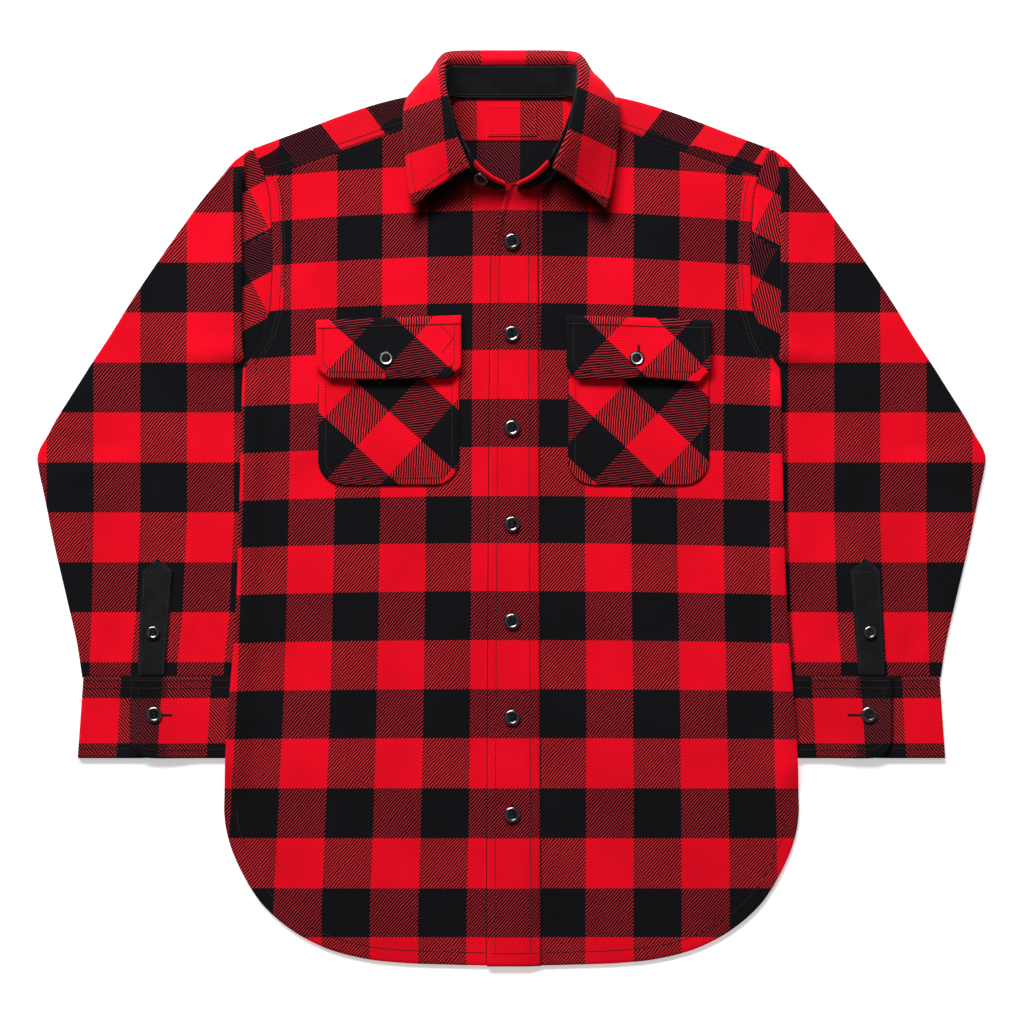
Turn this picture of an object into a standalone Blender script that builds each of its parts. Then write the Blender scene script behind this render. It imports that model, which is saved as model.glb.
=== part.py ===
"""Flannel overshirt, buttoned and laid flat on its back, arms down.

The shirt lies on z = 0 with its collar towards +Y, so the wearer's right is at -X.
Lengths in the tables and functions are millimetres, and meshes are made in metres.
Every cloth piece is a sheet: a grid of points through the middle of the cloth, which
Solidify thickens by half the cloth on each side.
"""
import math

import bmesh
import bpy
import numpy as np
from mathutils import Vector

MM = 0.001

# Cloth and seams
WALL = 1.5             # one layer of brushed flannel
DOUBLE = 2.4           # turned and stitched double cloth: collar, cuffs, placket, flaps
SEAM = 0.3             # gap between two pieces at a seam
LAP = 0.45             # gap under a piece that lies on another
FLAP_LAP = 0.8         # gap under a pocket flap
LAYER = WALL + SEAM    # from the middle of one layer to the middle of the next
BACK_Z = WALL / 2      # middle of the back, which lies on the ground
FRONT_Z = BACK_Z + LAYER + 0.2

# Body outline, right half: distance from the centre line at each height
ARMPIT_Y = 131.0
SIDE = (               # y, half width of the body
    (-283, 270.3), (-234, 268.6), (-170, 264.8), (-131, 262.7), (8, 255.2), (ARMPIT_Y, 252.4))
HEM = (                # half width, y along the curved hem from the centre to the side
    (0, -430), (60, -428.6), (102, -427), (135, -423.5), (181, -410.3), (206.3, -396.2),
    (224.2, -382), (237.4, -368), (246.8, -354))
TAIL = (               # y, half width where the hem turns up into the side
    (-354, 246.8), (-340, 254.3), (-318, 263.8), (-297, 269), (-283, 270.3))
ARMHOLE = (            # y, half width of the armhole seam, with straight runs between the rows
    (ARMPIT_Y, 252.4), (139.6, 246.6), (158.4, 235.5), (188.5, 226.6), (224, 224.8),
    (248, 225.0), (270, 225.8), (292.8, 227.3), (313.5, 232.2), (327, 238), (337, 243))
YOKE_FRONT = (         # half width, y of the front yoke seam
    (56, 371.8), (102.9, 355.8), (162.2, 335.1), (219, 316.8), (243, 310.5))
SHOULDER = (           # half width, y of the fold along the shoulder
    (56, 391.5), (101, 385.6), (217.6, 346.4), (243, 337))
NECKLINE = (           # half width, y of the front neck seam
    (-20, 296.4), (6, 297.5), (22, 302.2), (39, 311), (44.5, 322), (50, 335), (57, 355),
    (60, 370.3))
YOKE_BACK_Y = 276.0    # back yoke seam
NECK_BACK_Y = 385.0    # back neck seam
FRONT_EDGE_X = 12.7    # edge of the right front, under the placket
PLACKET_SEAM_X = 25.5  # seam of the placket and the left front

# Levels of the body's grid: height at the side edge, and share of the full side lift
BODY_LEVELS = (
    (-354, 0), (-340, 0), (-318, 0), (-297, 0), (-270, 0), (-248, 0.55), (-234, 1), (-190, 1),
    (-140, 1), (-70, 1), (0, 1), (60, 1), (106, 1), (118, 0.45), (ARMPIT_Y, 0))
YOKE_CORNER = ARMHOLE[8]  # where the front yoke seam meets the armhole
UPPER_LEVELS = [row[0] for row in ARMHOLE[1:8]] + [YOKE_CORNER[0] - SEAM / 2]  # at the armhole
SIDE_LIFT = 5.9        # the body's edge lies on the sleeve and the cuff
SIDE_INSETS = ((0, 1.0), (8, 1.0), (17, 0.5), (27, 0.0))   # inset from the edge, share of lift
FRONT_COLUMNS = (185, 130, 85, 60, 50, 39, 22)             # distances from the centre line

# Sleeve: a row for each section, from the shoulder down to the cuff
SLEEVE = (             # y, outer half width, turn of the tuck (1 is folded back), height of the top layer
    (332.6, 251.0, 0.0, 2.5),
    (327.0, 258.8, 0.0, 2.7),
    (313.5, 270.4, 0.2, 3.0),
    (303.0, 279.2, 0.42, 3.3),
    (292.8, 287.6, 0.66, 3.6),
    (281.0, 296.6, 0.88, 3.8),
    (270.0, 304.5, 1.0, 3.8),
    (248.0, 320.3, 1.0, 4.0),
    (224.0, 337.0, 1.0, 3.9),
    (188.5, 360.4, 1.0, 4.1),
    (158.4, 379.0, 0.8, 4.4),
    (148.5, 385.6, 0.56, 4.3),
    (139.6, 391.5, 0.32, 4.2),
    (130.6, 397.4, 0.06, 4.0),
    (118.0, 405.3, 0.0, 3.9),
    (102.0, 415.4, 0.0, 3.9),
    (83.2, 427.2, 0.0, 4.2),
    (67.0, 436.0, 0.0, 4.4),
    (55.0, 443.0, 0.0, 4.4),
    (48.0, 444.9, 0.0, 4.3),
    (38.0, 443.8, 0.0, 4.1),
    (18.0, 439.6, 0.0, 3.8),
    (-29.6, 430.0, 0.0, 3.4),
    (-86.0, 416.9, 0.0, 3.5),
    (-128.0, 407.4, 0.0, 3.3),
    (-157.2, 402.9, 0.0, 3.1))
TUCK_EDGE = 253.4      # half width of the fold that lies over the cap of the sleeve
TUCK_RUN = 3.1         # straight cloth between the two turns of the tuck
TUCK_RADIUS = 1.25     # middle radius of both turns
TUCK_EASE = 4.0        # width that each turn takes where it has opened out
SLEEVE_UNDER = 8.0     # how far the sleeve's inner edge lies under the body

# Cuffs
CUFF_TOP_Y = -157.6
CUFF_BOTTOM_Y = -234.5
CUFF_OUTER = ((CUFF_BOTTOM_Y, 408.2), (CUFF_TOP_Y, 403.2))  # y, outer half width
CUFF_INNER = ((CUFF_BOTTOM_Y, 260.4), (CUFF_TOP_Y, 256.4))  # y, inner half width
CUFF_LAP_END = 356.7   # half width of the end that lies on top
CUFF_UNDER_END = 322.0  # half width of the end that lies below it
CUFF_LAYER = 2.8       # from the middle of one cuff layer to the next
CUFF_CORNER = 19.0     # radius of the two rounded ends

# Gauntlets, on top of the sleeves
GAUNTLET = (           # y, inner and outer half width
    (-156.9, 325.7, 351.0), (-110.0, 322.0, 349.0), (-58.5, 318.2, 346.4), (-47.5, 331.6, 332.8))

# Chest pockets and flaps: centre, half width and top of the right one (the left mirrors it)
POCKET_X = 115.2
POCKET_HALF = 65.8
POCKET_TOP_Y = 170.0
POCKET_BOTTOM_Y = 22.0
POCKET_CORNER = 23.5
FLAP_HALF = 68.0
FLAP_TOP_Y = 178.6
FLAP_BOTTOM_Y = 121.5
FLAP_CORNER = 11.0
FLAP_TILT = 0.034      # rise of the flap's top towards the centre, per mm
FLAP_PUFF = 3.0        # how far the flap's lower edge stands off the pocket

# Collar: a row for each station, from the middle of the back to the front
STAND = (              # base x y z, top x y z
    (0, 385.4, 3.7, 0, 417.0, 12.5),
    (30, 385.4, 3.7, 30, 417.0, 12.5),
    (48, 386.2, 4.4, 50, 417.2, 14.5),
    (56.3, 388.0, 10.4, 58.5, 415.0, 18.6),
    (61.5, 384.0, 13.0, 62.5, 408.0, 25.0),
    (62.0, 372.0, 13.0, 61.5, 394.0, 29.5),
    (58.0, 354.0, 12.6, 57.8, 376.5, 33.0),
    (51.0, 336.0, 12.8, 51.5, 355.5, 35.0),
    (45.0, 322.5, 13.2, 44.0, 338.0, 35.3),
    (39.0, 312.0, 13.4, 35.5, 327.5, 34.0),
    (22.0, 304.0, 14.4, 19.8, 316.8, 32.5),
    (8.0, 300.8, 15.6, 7.5, 309.2, 29.5))
LEAF = (               # seam on the stand, crest, outermost, lower and edge points, each x y z
    (0, 417.3, 12.6, 0, 424.0, 14.6, 0, 430.0, 8.4, 0, 421.5, 1.35, 0, 390.0, 1.2),
    (30, 417.3, 12.6, 30, 424.0, 14.6, 30, 430.0, 8.4, 30, 421.5, 1.35, 30, 390.0, 1.2),
    (50, 417.5, 14.6, 51, 424.6, 16.8, 54, 430.2, 9.0, 53, 421.8, 1.35, 52, 392.5, 1.2),
    (58.7, 416.0, 19.2, 60.5, 422.0, 22.0, 68, 424.6, 10.5, 66, 417.5, 1.4, 63, 400.5, 1.2),
    (62.9, 409.0, 25.9, 66, 413.0, 29.4, 79, 411.2, 13.0, 79, 406.0, 2.6, 76, 399.0, 1.2),
    (61.9, 394.8, 30.5, 65.6, 397.0, 34.6, 88, 398.5, 20.0, 94, 393.4, 9.8, 93.5, 390.0, 5.4),
    (58.1, 377.0, 34.1, 61.6, 377.8, 38.2, 80, 376.0, 30.0, 94, 372.5, 17.5, 101.4, 370.0, 11.0),
    (51.8, 356.0, 36.1, 55.0, 356.3, 39.6, 74, 352.0, 32.0, 90, 346.5, 20.0, 99.8, 343.0, 12.2),
    (44.3, 338.5, 36.4, 47.6, 337.8, 39.4, 68, 327.0, 30.0, 85, 316.5, 20.0, 97.6, 309.0, 13.2),
    (36.6, 328.0, 35.1, 40.0, 326.0, 37.6, 58, 313.0, 29.0, 76, 299.0, 20.5, 92.8, 284.6, 14.2))
STATIONS_PER_ROW = 2   # smooth stations between two rows of the collar's tables
LEAF_STEPS = 11

# Facing and label place inside the neck
FACING_HALF = 70.0
FACING_BOTTOM_Y = 345.5
LABEL = (-22.5, 349.5, 24.0, 379.0)        # low x, low y, high x, high y
LABEL_THICK = 1.0

# Placket
PLACKET_THICK = 2.2
PLACKET_EDGE = (       # y, x of its free edge and of its seam
    (-430, -23.2, 27.6), (-300, -22.8, 27.2), (0, -21.2, 26.2), (200, -19.4, PLACKET_SEAM_X),
    (237, -18.6, 25.3), (262, -13.8, 25.1), (281, -8.5, 25.0), (297, 0.6, 25.0))

# Buttons: diameter, height
SHIRT_BUTTON = (15.0, 3.0)
POCKET_BUTTON = (14.2, 2.8)
GAUNTLET_BUTTON = (12.2, 2.6)
FRONT_BUTTONS_Y = (250.5, 164.0, 75.7, -14.6, -105.8, -196.0, -287.2)
POCKET_BUTTON_AT = (117.4, 140.3)
CUFF_BUTTON_AT = (335.2, -193.2)
GAUNTLET_BUTTON_AT = (336.4, -116.3)
STAND_BUTTON_STATION = 9.35                # along the rows of STAND, on the right end
STAND_BUTTON_SHARE = 0.42                  # up the stand from its base

# Colours, linear
RED = (0.66, 0.006, 0.02, 1)
BLACK = (0.012, 0.012, 0.014, 1)
BUTTON = (0.02, 0.02, 0.022, 1)


# ---- Curves and heights ----

def ramp(value, low, high):
    """0 at low, 1 at high, with a soft start and end."""
    share = min(max((value - low) / (high - low), 0.0), 1.0)
    return share * share * (3 - 2 * share)


def mix(first, second, share):
    return first + (second - first) * share


def follow(table, key):
    """A table's later columns at a key, on a smooth curve through its rows."""
    rows = np.array(table, dtype=float)
    keys = rows[:, 0]
    slopes = np.gradient(rows[:, 1:], keys, axis=0)
    index = int(np.clip(np.searchsorted(keys, key) - 1, 0, len(keys) - 2))
    step = keys[index + 1] - keys[index]
    share = min(max((key - keys[index]) / step, 0.0), 1.0)
    square, cube = share ** 2, share ** 3
    value = (
        (2 * cube - 3 * square + 1) * rows[index, 1:]
        + (cube - 2 * square + share) * step * slopes[index]
        + (3 * square - 2 * cube) * rows[index + 1, 1:]
        + (cube - square) * step * slopes[index + 1])
    return value if len(value) > 1 else float(value[0])


def through(rows, position):
    """A point on a smooth curve through evenly numbered rows."""
    return follow([(index, *row) for index, row in enumerate(rows)], position)


def armhole_width(y):
    return float(np.interp(y, [row[0] for row in ARMHOLE], [row[1] for row in ARMHOLE]))


def body_width(y):
    """Half width of the body at a height of its side edge."""
    if y > ARMPIT_Y:
        return armhole_width(y)
    return follow(TAIL, y) if y < SIDE[0][0] else follow(SIDE, y)


def neck_rise(x, y):
    """How far the front stands up towards the neck seam."""
    across = x / 62
    along = (y - 375) / 77
    distance = math.hypot(across, along) - 1
    height = mix(6.0, 8.6, ramp(372 - y, 0, 70))
    return height * math.exp(-(distance / 0.55) ** 2)


def front_z(x, y):
    """Middle of the upper layer of the body, away from the lifted side edge."""
    width = body_width(y)
    inside = ramp(width - abs(x), 0, 70) * ramp(y, -430, -350)
    soft = 0.9 + 0.5 * math.sin(x / 47 + y / 160) + 0.4 * math.sin(y / 61 - x / 210)
    return FRONT_Z + inside * soft + neck_rise(x, y)


def hem_share(width_share):
    """0 at the side and 1 at the centre, in the shape of the hem."""
    corner_width, corner_y = HEM[-1]
    centre_y = HEM[0][1]
    return (follow(HEM, width_share * corner_width) - corner_y) / (centre_y - corner_y)


def level_y(side_y, x, width):
    """Height of a level of the body's grid: bent like the hem low down, straight higher up."""
    corner_y = HEM[-1][1]
    drop = (HEM[0][1] - corner_y) * ramp(-side_y, 120, -corner_y)
    return side_y + drop * hem_share(min(abs(x) / width, 1.0))


def side_columns(edge):
    """The columns beside an edge, with their share of the side lift."""
    return [(edge - inset, share) for inset, share in SIDE_INSETS]


# ---- Sheets ----

def finish(name, mesh_builder, colour, roughness, smooth_angle=40):
    """An object from a bmesh, with its own material."""
    bmesh.ops.recalc_face_normals(mesh_builder, faces=mesh_builder.faces)
    mesh = bpy.data.meshes.new(name)
    mesh_builder.to_mesh(mesh)
    mesh_builder.free()
    mesh.shade_smooth()
    mesh.set_sharp_from_angle(angle=math.radians(smooth_angle))
    piece = bpy.data.objects.new(name, mesh)
    bpy.context.scene.collection.objects.link(piece)
    material = bpy.data.materials.new(name)
    material.use_nodes = True
    surface = material.node_tree.nodes["Principled BSDF"]
    surface.inputs["Base Color"].default_value = colour
    surface.inputs["Roughness"].default_value = roughness
    surface.inputs["Metallic"].default_value = 0.0
    mesh.materials.append(material)
    return piece


def sheet(name, grid, thickness, colour, roughness=0.9):
    """Cloth of one thickness through rows of middle points. None leaves a place open."""
    cloth = bmesh.new()
    rows = [[cloth.verts.new([value * MM for value in point]) if point is not None else None
             for point in row] for row in grid]
    for lower, upper in zip(rows, rows[1:]):
        for corner in range(len(lower) - 1):
            quad = (lower[corner], lower[corner + 1], upper[corner + 1], upper[corner])
            if None not in quad:
                cloth.faces.new(quad)
    piece = finish(name, cloth, colour, roughness)
    wall = piece.modifiers.new("Cloth", "SOLIDIFY")
    wall.thickness = thickness * MM
    wall.offset = 0
    wall.use_even_offset = True
    wall.use_quality_normals = True
    return piece


def mirrored(grid):
    return [[(-x, y, z) for x, y, z in row] for row in grid]


# ---- Body ----

def back_panel():
    """One piece from the hem to the back yoke seam, lifted where its sides lie on the sleeves."""
    inner = (185, 130, 85, 40, 0)
    grid = []
    for side_y, lift_share in BODY_LEVELS:
        width = body_width(side_y) - SEAM / 2
        half = [(w, level_y(side_y, w, width), BACK_Z + SIDE_LIFT * lift_share * share)
                for w, share in side_columns(width)]
        half += [(w, level_y(side_y, w, width), BACK_Z) for w in inner]
        grid.append(half)
    for y in UPPER_LEVELS[:6] + [YOKE_BACK_Y - SEAM / 2]:
        width = body_width(y) - SEAM * 0.7
        grid.append([(w, y, BACK_Z) for w, share in side_columns(width)]
                    + [(w, y, BACK_Z) for w in inner])
    whole = [[(-w, y, z) for w, y, z in half] + list(reversed(half[:-1])) for half in grid]
    sheet("back", whole, WALL, BLACK)


def top_seam_y(w):
    """Top of a front: the yoke seam, and inside it the neck seam."""
    if w > NECKLINE[-1][0]:
        return follow(YOKE_FRONT, w) - SEAM / 2
    return follow(NECKLINE, w) - SEAM / 2


def front_grid(last_columns):
    """A front's middle points, from the hem up, from the side to the front edge."""
    columns = [w for w in FRONT_COLUMNS] + list(last_columns)
    grid = []
    for side_y, lift_share in BODY_LEVELS:
        width = body_width(side_y) - SEAM / 2
        row = []
        for w, share in side_columns(width) + [(w, 0) for w in columns]:
            y = level_y(side_y, w, width)
            row.append((w, y, front_z(w, y) + SIDE_LIFT * lift_share * share))
        grid.append(row)
    for edge_y in UPPER_LEVELS:
        step = (edge_y - ARMPIT_Y) / (UPPER_LEVELS[-1] - ARMPIT_Y)
        width = body_width(edge_y) - SEAM * 0.7
        row = []
        for w, share in side_columns(width) + [(w, 0) for w in columns]:
            y = mix(ARMPIT_Y, top_seam_y(w), step)
            row.append((w, y, front_z(w, y)))
        row[0] = (width, edge_y, front_z(width, edge_y))
        grid.append(row)
    return grid


def fronts():
    right = [[(-w, y, z) for w, y, z in row] for row in front_grid((0, -FRONT_EDGE_X))]
    sheet("front_right", right, WALL, RED)
    left = []
    for row in front_grid((0,)):
        y = row[-1][1]
        seam_x = follow(PLACKET_EDGE, min(y, 297))[1] + SEAM / 2
        kept = [point for point in row if point[0] > 30]
        seam_y = mix(y, top_seam_y(seam_x), ramp(y, 250, 296))
        seam_point = (seam_x, seam_y, front_z(seam_x, seam_y))
        left.append([seam_point] + list(reversed(kept)))
    sheet("front_left", left, WALL, RED)


def placket():
    """Double band on the left front, over the edge of the right front, on the fronts' levels."""
    grid = []
    for row in front_grid((0,)):
        level = row[-1][1]
        free, seam = follow(PLACKET_EDGE, level)
        points = []
        for x in (free, mix(free, FRONT_EDGE_X, 0.5), FRONT_EDGE_X, seam - SEAM / 2):
            over = WALL / 2 + LAP + PLACKET_THICK / 2
            beside = (PLACKET_THICK - WALL) / 2
            height = mix(over, beside, ramp(x, FRONT_EDGE_X + 1, PLACKET_SEAM_X))
            y = mix(level, top_seam_y(x), ramp(level, 250, 296))
            points.append((x, y, front_z(x, y) + height))
        grid.append(points)
    sheet("placket", grid, PLACKET_THICK, RED)


def placket_z(x, y):
    return front_z(x, y) + WALL / 2 + LAP + PLACKET_THICK


def yoke():
    """Wraps over both shoulders: front strip, rounded fold, then the back down to its seam."""
    shares = (0, 0.615, 1)
    turns = (0.25, 0.5, 0.75)
    back_steps = (0, 0.142, 0.37, 0.719, 1)

    def wing(w_at, front_y, fold_y):
        """Points of one column, from the front seam over the fold to the back seam."""
        radius = (front_z(w_at(fold_y), fold_y) - BACK_Z) / 2
        column = []
        for share in shares:
            y = mix(front_y + SEAM / 2, fold_y - radius, share)
            top = mix(front_z(w_at(y), y), BACK_Z + 2 * radius, share)
            column.append((w_at(y), y, top))
        for turn in turns:
            angle = math.pi * turn
            y = fold_y - radius + radius * math.sin(angle)
            column.append((w_at(y), y, BACK_Z + radius + radius * math.cos(angle)))
        for share in back_steps:
            y = mix(fold_y - radius, YOKE_BACK_Y + SEAM / 2, share)
            column.append((w_at(y), y, BACK_Z))
        return column

    half = []
    for inset, _ in SIDE_INSETS:
        fold_w = ARMHOLE[-1][1] - inset
        front_w = YOKE_CORNER[1] - inset
        half.append(wing(lambda y, inset=inset: armhole_width(y) - SEAM * 0.7 - inset,
                         follow(YOKE_FRONT, front_w), follow(SHOULDER, fold_w) - SEAM))
    for w in FRONT_COLUMNS[:4]:
        half.append(wing(lambda y, w=w: w, follow(YOKE_FRONT, w), follow(SHOULDER, w)))
    over_fold = len(shares) + len(turns)
    for w in (46, 22, 0):
        column = [None] * over_fold
        for share in back_steps:
            column.append((w, mix(NECK_BACK_Y - SEAM, YOKE_BACK_Y + SEAM / 2, share), BACK_Z))
        half.append(column)
    left = [[None if point is None else (-point[0], *point[1:]) for point in column]
            for column in half]
    sheet("yoke", left + list(reversed(half[:-1])), WALL, RED)


def neck_facing():
    """Inner yoke that shows through the neck, and the bare patch on it."""
    z = BACK_Z + LAYER
    rows = []
    for y in (FACING_BOTTOM_Y, 365, NECK_BACK_Y - SEAM):
        reach = mix(FACING_HALF, 50, ramp(y, 360, NECK_BACK_Y))
        rows.append([(reach * share, y, z) for share in (-1, -0.6, 0, 0.6, 1)])
    sheet("yoke_facing", rows, WALL, RED)
    low_x, low_y, high_x, high_y = LABEL
    patch_z = z + WALL / 2 + SEAM + LABEL_THICK / 2
    patch = [[(x, y, patch_z) for x in (low_x, high_x)] for y in (low_y, high_y)]
    sheet("neck_label", patch, LABEL_THICK, RED)


# ---- Sleeves ----

def sleeve_inner(y):
    """Half width of the sleeve's seam: armhole above, underarm edge below."""
    if y >= ARMPIT_Y - 1:
        return armhole_width(max(y, ARMPIT_Y)) + SEAM * 0.7
    return body_width(y) + SEAM * 0.7 - SLEEVE_UNDER * ramp(-y, -104, -50)


def sleeve_path(y, outer, turned, height):
    """One section of the sleeve: cap or underarm, tuck, top layer, outer fold, lower layer."""
    start = sleeve_inner(y)
    start_z = front_z(start, y) if y > ARMPIT_Y else FRONT_Z
    top_z = BACK_Z + height
    rim = outer - height / 2
    room = min(1.0, (rim - start) / 26)
    ease = TUCK_EASE * (1 - turned) * room
    run = TUCK_RUN * room
    bend = math.pi * turned
    sine, cosine = math.sin(bend), math.cos(bend)
    length = 2 * ease + 2 * TUCK_RADIUS * sine + run * cosine
    foot = TUCK_EDGE + TUCK_RADIUS - length
    foot = max(min(foot, mix(start, rim, 0.2)), start + 2.0)
    if turned > 0.5:
        foot = TUCK_EDGE + TUCK_RADIUS - length
    foot_z = start_z + 0.1
    head = foot + length
    head_z = foot_z + TUCK_RADIUS * 2 * (1 - cosine) + run * sine
    path = [(start, start_z)]
    for share in (0, 1 / 3, 2 / 3, 1):
        turn = bend * share
        path.append((foot + ease * share + TUCK_RADIUS * math.sin(turn),
                     foot_z + TUCK_RADIUS * (1 - math.cos(turn))))
    for share in (1, 2 / 3, 1 / 3, 0):
        turn = bend * share
        path.append((head - ease * share - TUCK_RADIUS * math.sin(turn),
                     head_z - TUCK_RADIUS * (1 - math.cos(turn))))
    for share in (0.07, 0.22, 0.45, 0.75, 1.0):
        path.append((mix(head, rim, share), mix(head_z, top_z, ramp(share, 0, 0.5))))
    for share in (0.25, 0.5, 0.75, 1.0):
        turn = math.pi * share
        path.append((rim + height / 2 * math.sin(turn), BACK_Z + height / 2 * (1 + math.cos(turn))))
    for share in (0.25, 0.55, 0.85, 1.0):
        path.append((mix(rim, start, share), BACK_Z))
    return path


def sleeves():
    grid = [[(-w, row[0], z) for w, z in sleeve_path(*row)] for row in SLEEVE]
    sheet("sleeve_right", grid, WALL, RED)
    sheet("sleeve_left", mirrored(grid), WALL, RED)


def cuff_path(y):
    """One section of a cuff, from the end on top round to the end below it."""
    outer = follow(CUFF_OUTER, y)
    inner = follow(CUFF_INNER, y)
    low = DOUBLE / 2
    middle = low + CUFF_LAYER
    top = middle + CUFF_LAYER
    radius = CUFF_LAYER / 2
    path = [(w, top) for w in (CUFF_LAP_END, CUFF_LAP_END - 7, CUFF_LAP_END - 14, 326)]
    path += [(308, mix(middle, top, 0.45)), (292, middle + 0.2), (inner + 12, middle)]
    for turn in (0, 0.33, 0.67, 1.0):
        angle = math.pi * turn
        path.append((inner + radius - radius * math.sin(angle), low + radius + radius * math.cos(angle)))
    path += [(mix(inner, outer, share), low) for share in (0.3, 0.6)]
    for turn in (1.0, 0.67, 0.33, 0):
        angle = math.pi * turn
        path.append((outer - radius + radius * math.sin(angle), low + radius + radius * math.cos(angle)))
    path += [(w, middle) for w in (370, CUFF_UNDER_END + 14, CUFF_UNDER_END + 7, CUFF_UNDER_END)]
    return path


def cuffs():
    """Bands of double cloth whose ends have rounded lower corners."""
    count = len(cuff_path(CUFF_TOP_Y))
    ends = {0: 0.0, 1: 7.0, 2: 14.0, count - 1: 0.0, count - 2: 7.0, count - 3: 14.0}
    heights = (0, 0.33, 0.67, 1)
    grid = []
    for share in heights:
        row = []
        for index in range(count):
            inset = CUFF_CORNER - min(ends.get(index, CUFF_CORNER), CUFF_CORNER)
            raised = CUFF_CORNER - math.sqrt(CUFF_CORNER ** 2 - inset ** 2)
            y = mix(CUFF_BOTTOM_Y + raised, CUFF_TOP_Y - SEAM, share)
            w, z = cuff_path(y)[index]
            row.append((-w, y, z))
        grid.append(row)
    sheet("cuff_right", grid, DOUBLE, RED)
    sheet("cuff_left", mirrored(grid), DOUBLE, RED)


def sleeve_top_z(w, y):
    """Middle of the sleeve's upper layer where it lies flat, worked out from the sections."""
    rows = sorted(SLEEVE)
    above = next(index for index, row in enumerate(rows) if row[0] >= y)
    heights = []
    for row in rows[above - 1:above + 1]:
        path = sleeve_path(*row)[:14]
        heights.append(np.interp(w, [point[0] for point in path], [point[1] for point in path]))
    share = (y - rows[above - 1][0]) / (rows[above][0] - rows[above - 1][0])
    return mix(heights[0], heights[1], share)


def gauntlets():
    """Plain strips with a pointed top, on the sleeves above the cuffs."""
    grid = []
    levels = (-156.9, -128.0, -110.0, -86.0, -58.5, -47.5)
    for y in levels:
        inner = np.interp(y, [row[0] for row in GAUNTLET], [row[1] for row in GAUNTLET])
        outer = np.interp(y, [row[0] for row in GAUNTLET], [row[2] for row in GAUNTLET])
        row = []
        for share in (0, 0.5, 1):
            w = mix(inner, outer, share)
            row.append((-w, y, sleeve_top_z(w, y) + WALL + LAP))
        grid.append(row)
    sheet("gauntlet_right", grid, WALL, BLACK)
    sheet("gauntlet_left", mirrored(grid), WALL, BLACK)


# ---- Pockets ----

def rounded_rows(half, corner, top, bottom, steps):
    """Rows of a panel with rounded lower corners: height, half width."""
    rows = []
    for step in range(steps + 1):
        angle = math.pi / 2 * step / steps
        rows.append((bottom + corner * (1 - math.cos(angle)), half - corner * (1 - math.sin(angle))))
    rows += [(mix(bottom + corner, top, share), half) for share in (0.3, 0.6, 0.9, 1)]
    return rows


def pocket_z(x, y):
    return front_z(x, y) + WALL / 2 + LAP + WALL / 2


def flap_z(x, y):
    """Middle of a flap: down on the front at its seam, over the pocket, and off it at its edge."""
    seam_y = FLAP_TOP_Y + FLAP_TILT * (POCKET_X - abs(x))
    on_front = front_z(x, y) + WALL / 2 + FLAP_LAP + DOUBLE / 2
    on_pocket = on_front + WALL + LAP
    share = ramp(seam_y - y, 0.4, 4.2)
    puff = FLAP_PUFF * ramp(seam_y - y, 12, 58) * (0.75 + 0.25 * math.cos((abs(x) - POCKET_X) / 24))
    return mix(on_front, on_pocket, share) + puff


def chest_pockets():
    columns = (-1, -0.6, -0.2, 0.2, 0.6, 1)
    pocket = []
    for y, half in rounded_rows(POCKET_HALF, POCKET_CORNER, POCKET_TOP_Y - 4, POCKET_BOTTOM_Y, 3):
        pocket.append([(-POCKET_X + half * share, y, pocket_z(POCKET_X - half * share, y))
                       for share in columns])
    flap = []
    for y, half in rounded_rows(FLAP_HALF, FLAP_CORNER, FLAP_TOP_Y, FLAP_BOTTOM_Y, 2):
        row = []
        for share in columns:
            x = -POCKET_X + half * share
            tilt = FLAP_TILT * (x + POCKET_X) * ramp(y, FLAP_BOTTOM_Y, FLAP_TOP_Y)
            row.append((x, y + tilt, flap_z(x, y + tilt)))
        flap.append(row)
    for side, turn in (("right", list), ("left", mirrored)):
        sheet("pocket_" + side, turn(pocket), WALL, RED)
        sheet("flap_" + side, turn(flap), DOUBLE, BLACK)


# ---- Collar ----

def stations(table):
    """Smooth stations round the whole collar, from the right front round the back to the left."""
    count = (len(table) - 1) * STATIONS_PER_ROW
    half = [through(table, index / STATIONS_PER_ROW) for index in range(count + 1)]
    return half


def round_neck(half):
    """Both halves of the collar's stations: the right one is at -X."""
    right = [[(-x, y, z) for x, y, z in row] for row in reversed(half)]
    return right + half[1:]


def collar():
    leaf = []
    for values in stations(LEAF):
        points = [tuple(values[index:index + 3]) for index in range(0, len(values), 3)]
        path = [through(points, share * (len(points) - 1) / LEAF_STEPS)
                for share in range(LEAF_STEPS + 1)]
        leaf.append([(x, y, max(z, DOUBLE / 2)) for x, y, z in path])
    sheet("collar", round_neck(leaf), DOUBLE, RED)


def collar_stand():
    band = []
    for values in stations(STAND):
        base, top = np.array(values[:3]), np.array(values[3:])
        band.append([tuple(mix(base, top, share)) for share in (0, 0.5, 1)])
    sheet("collar_stand", round_neck(band), DOUBLE, BLACK)


# ---- Buttons ----

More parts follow.
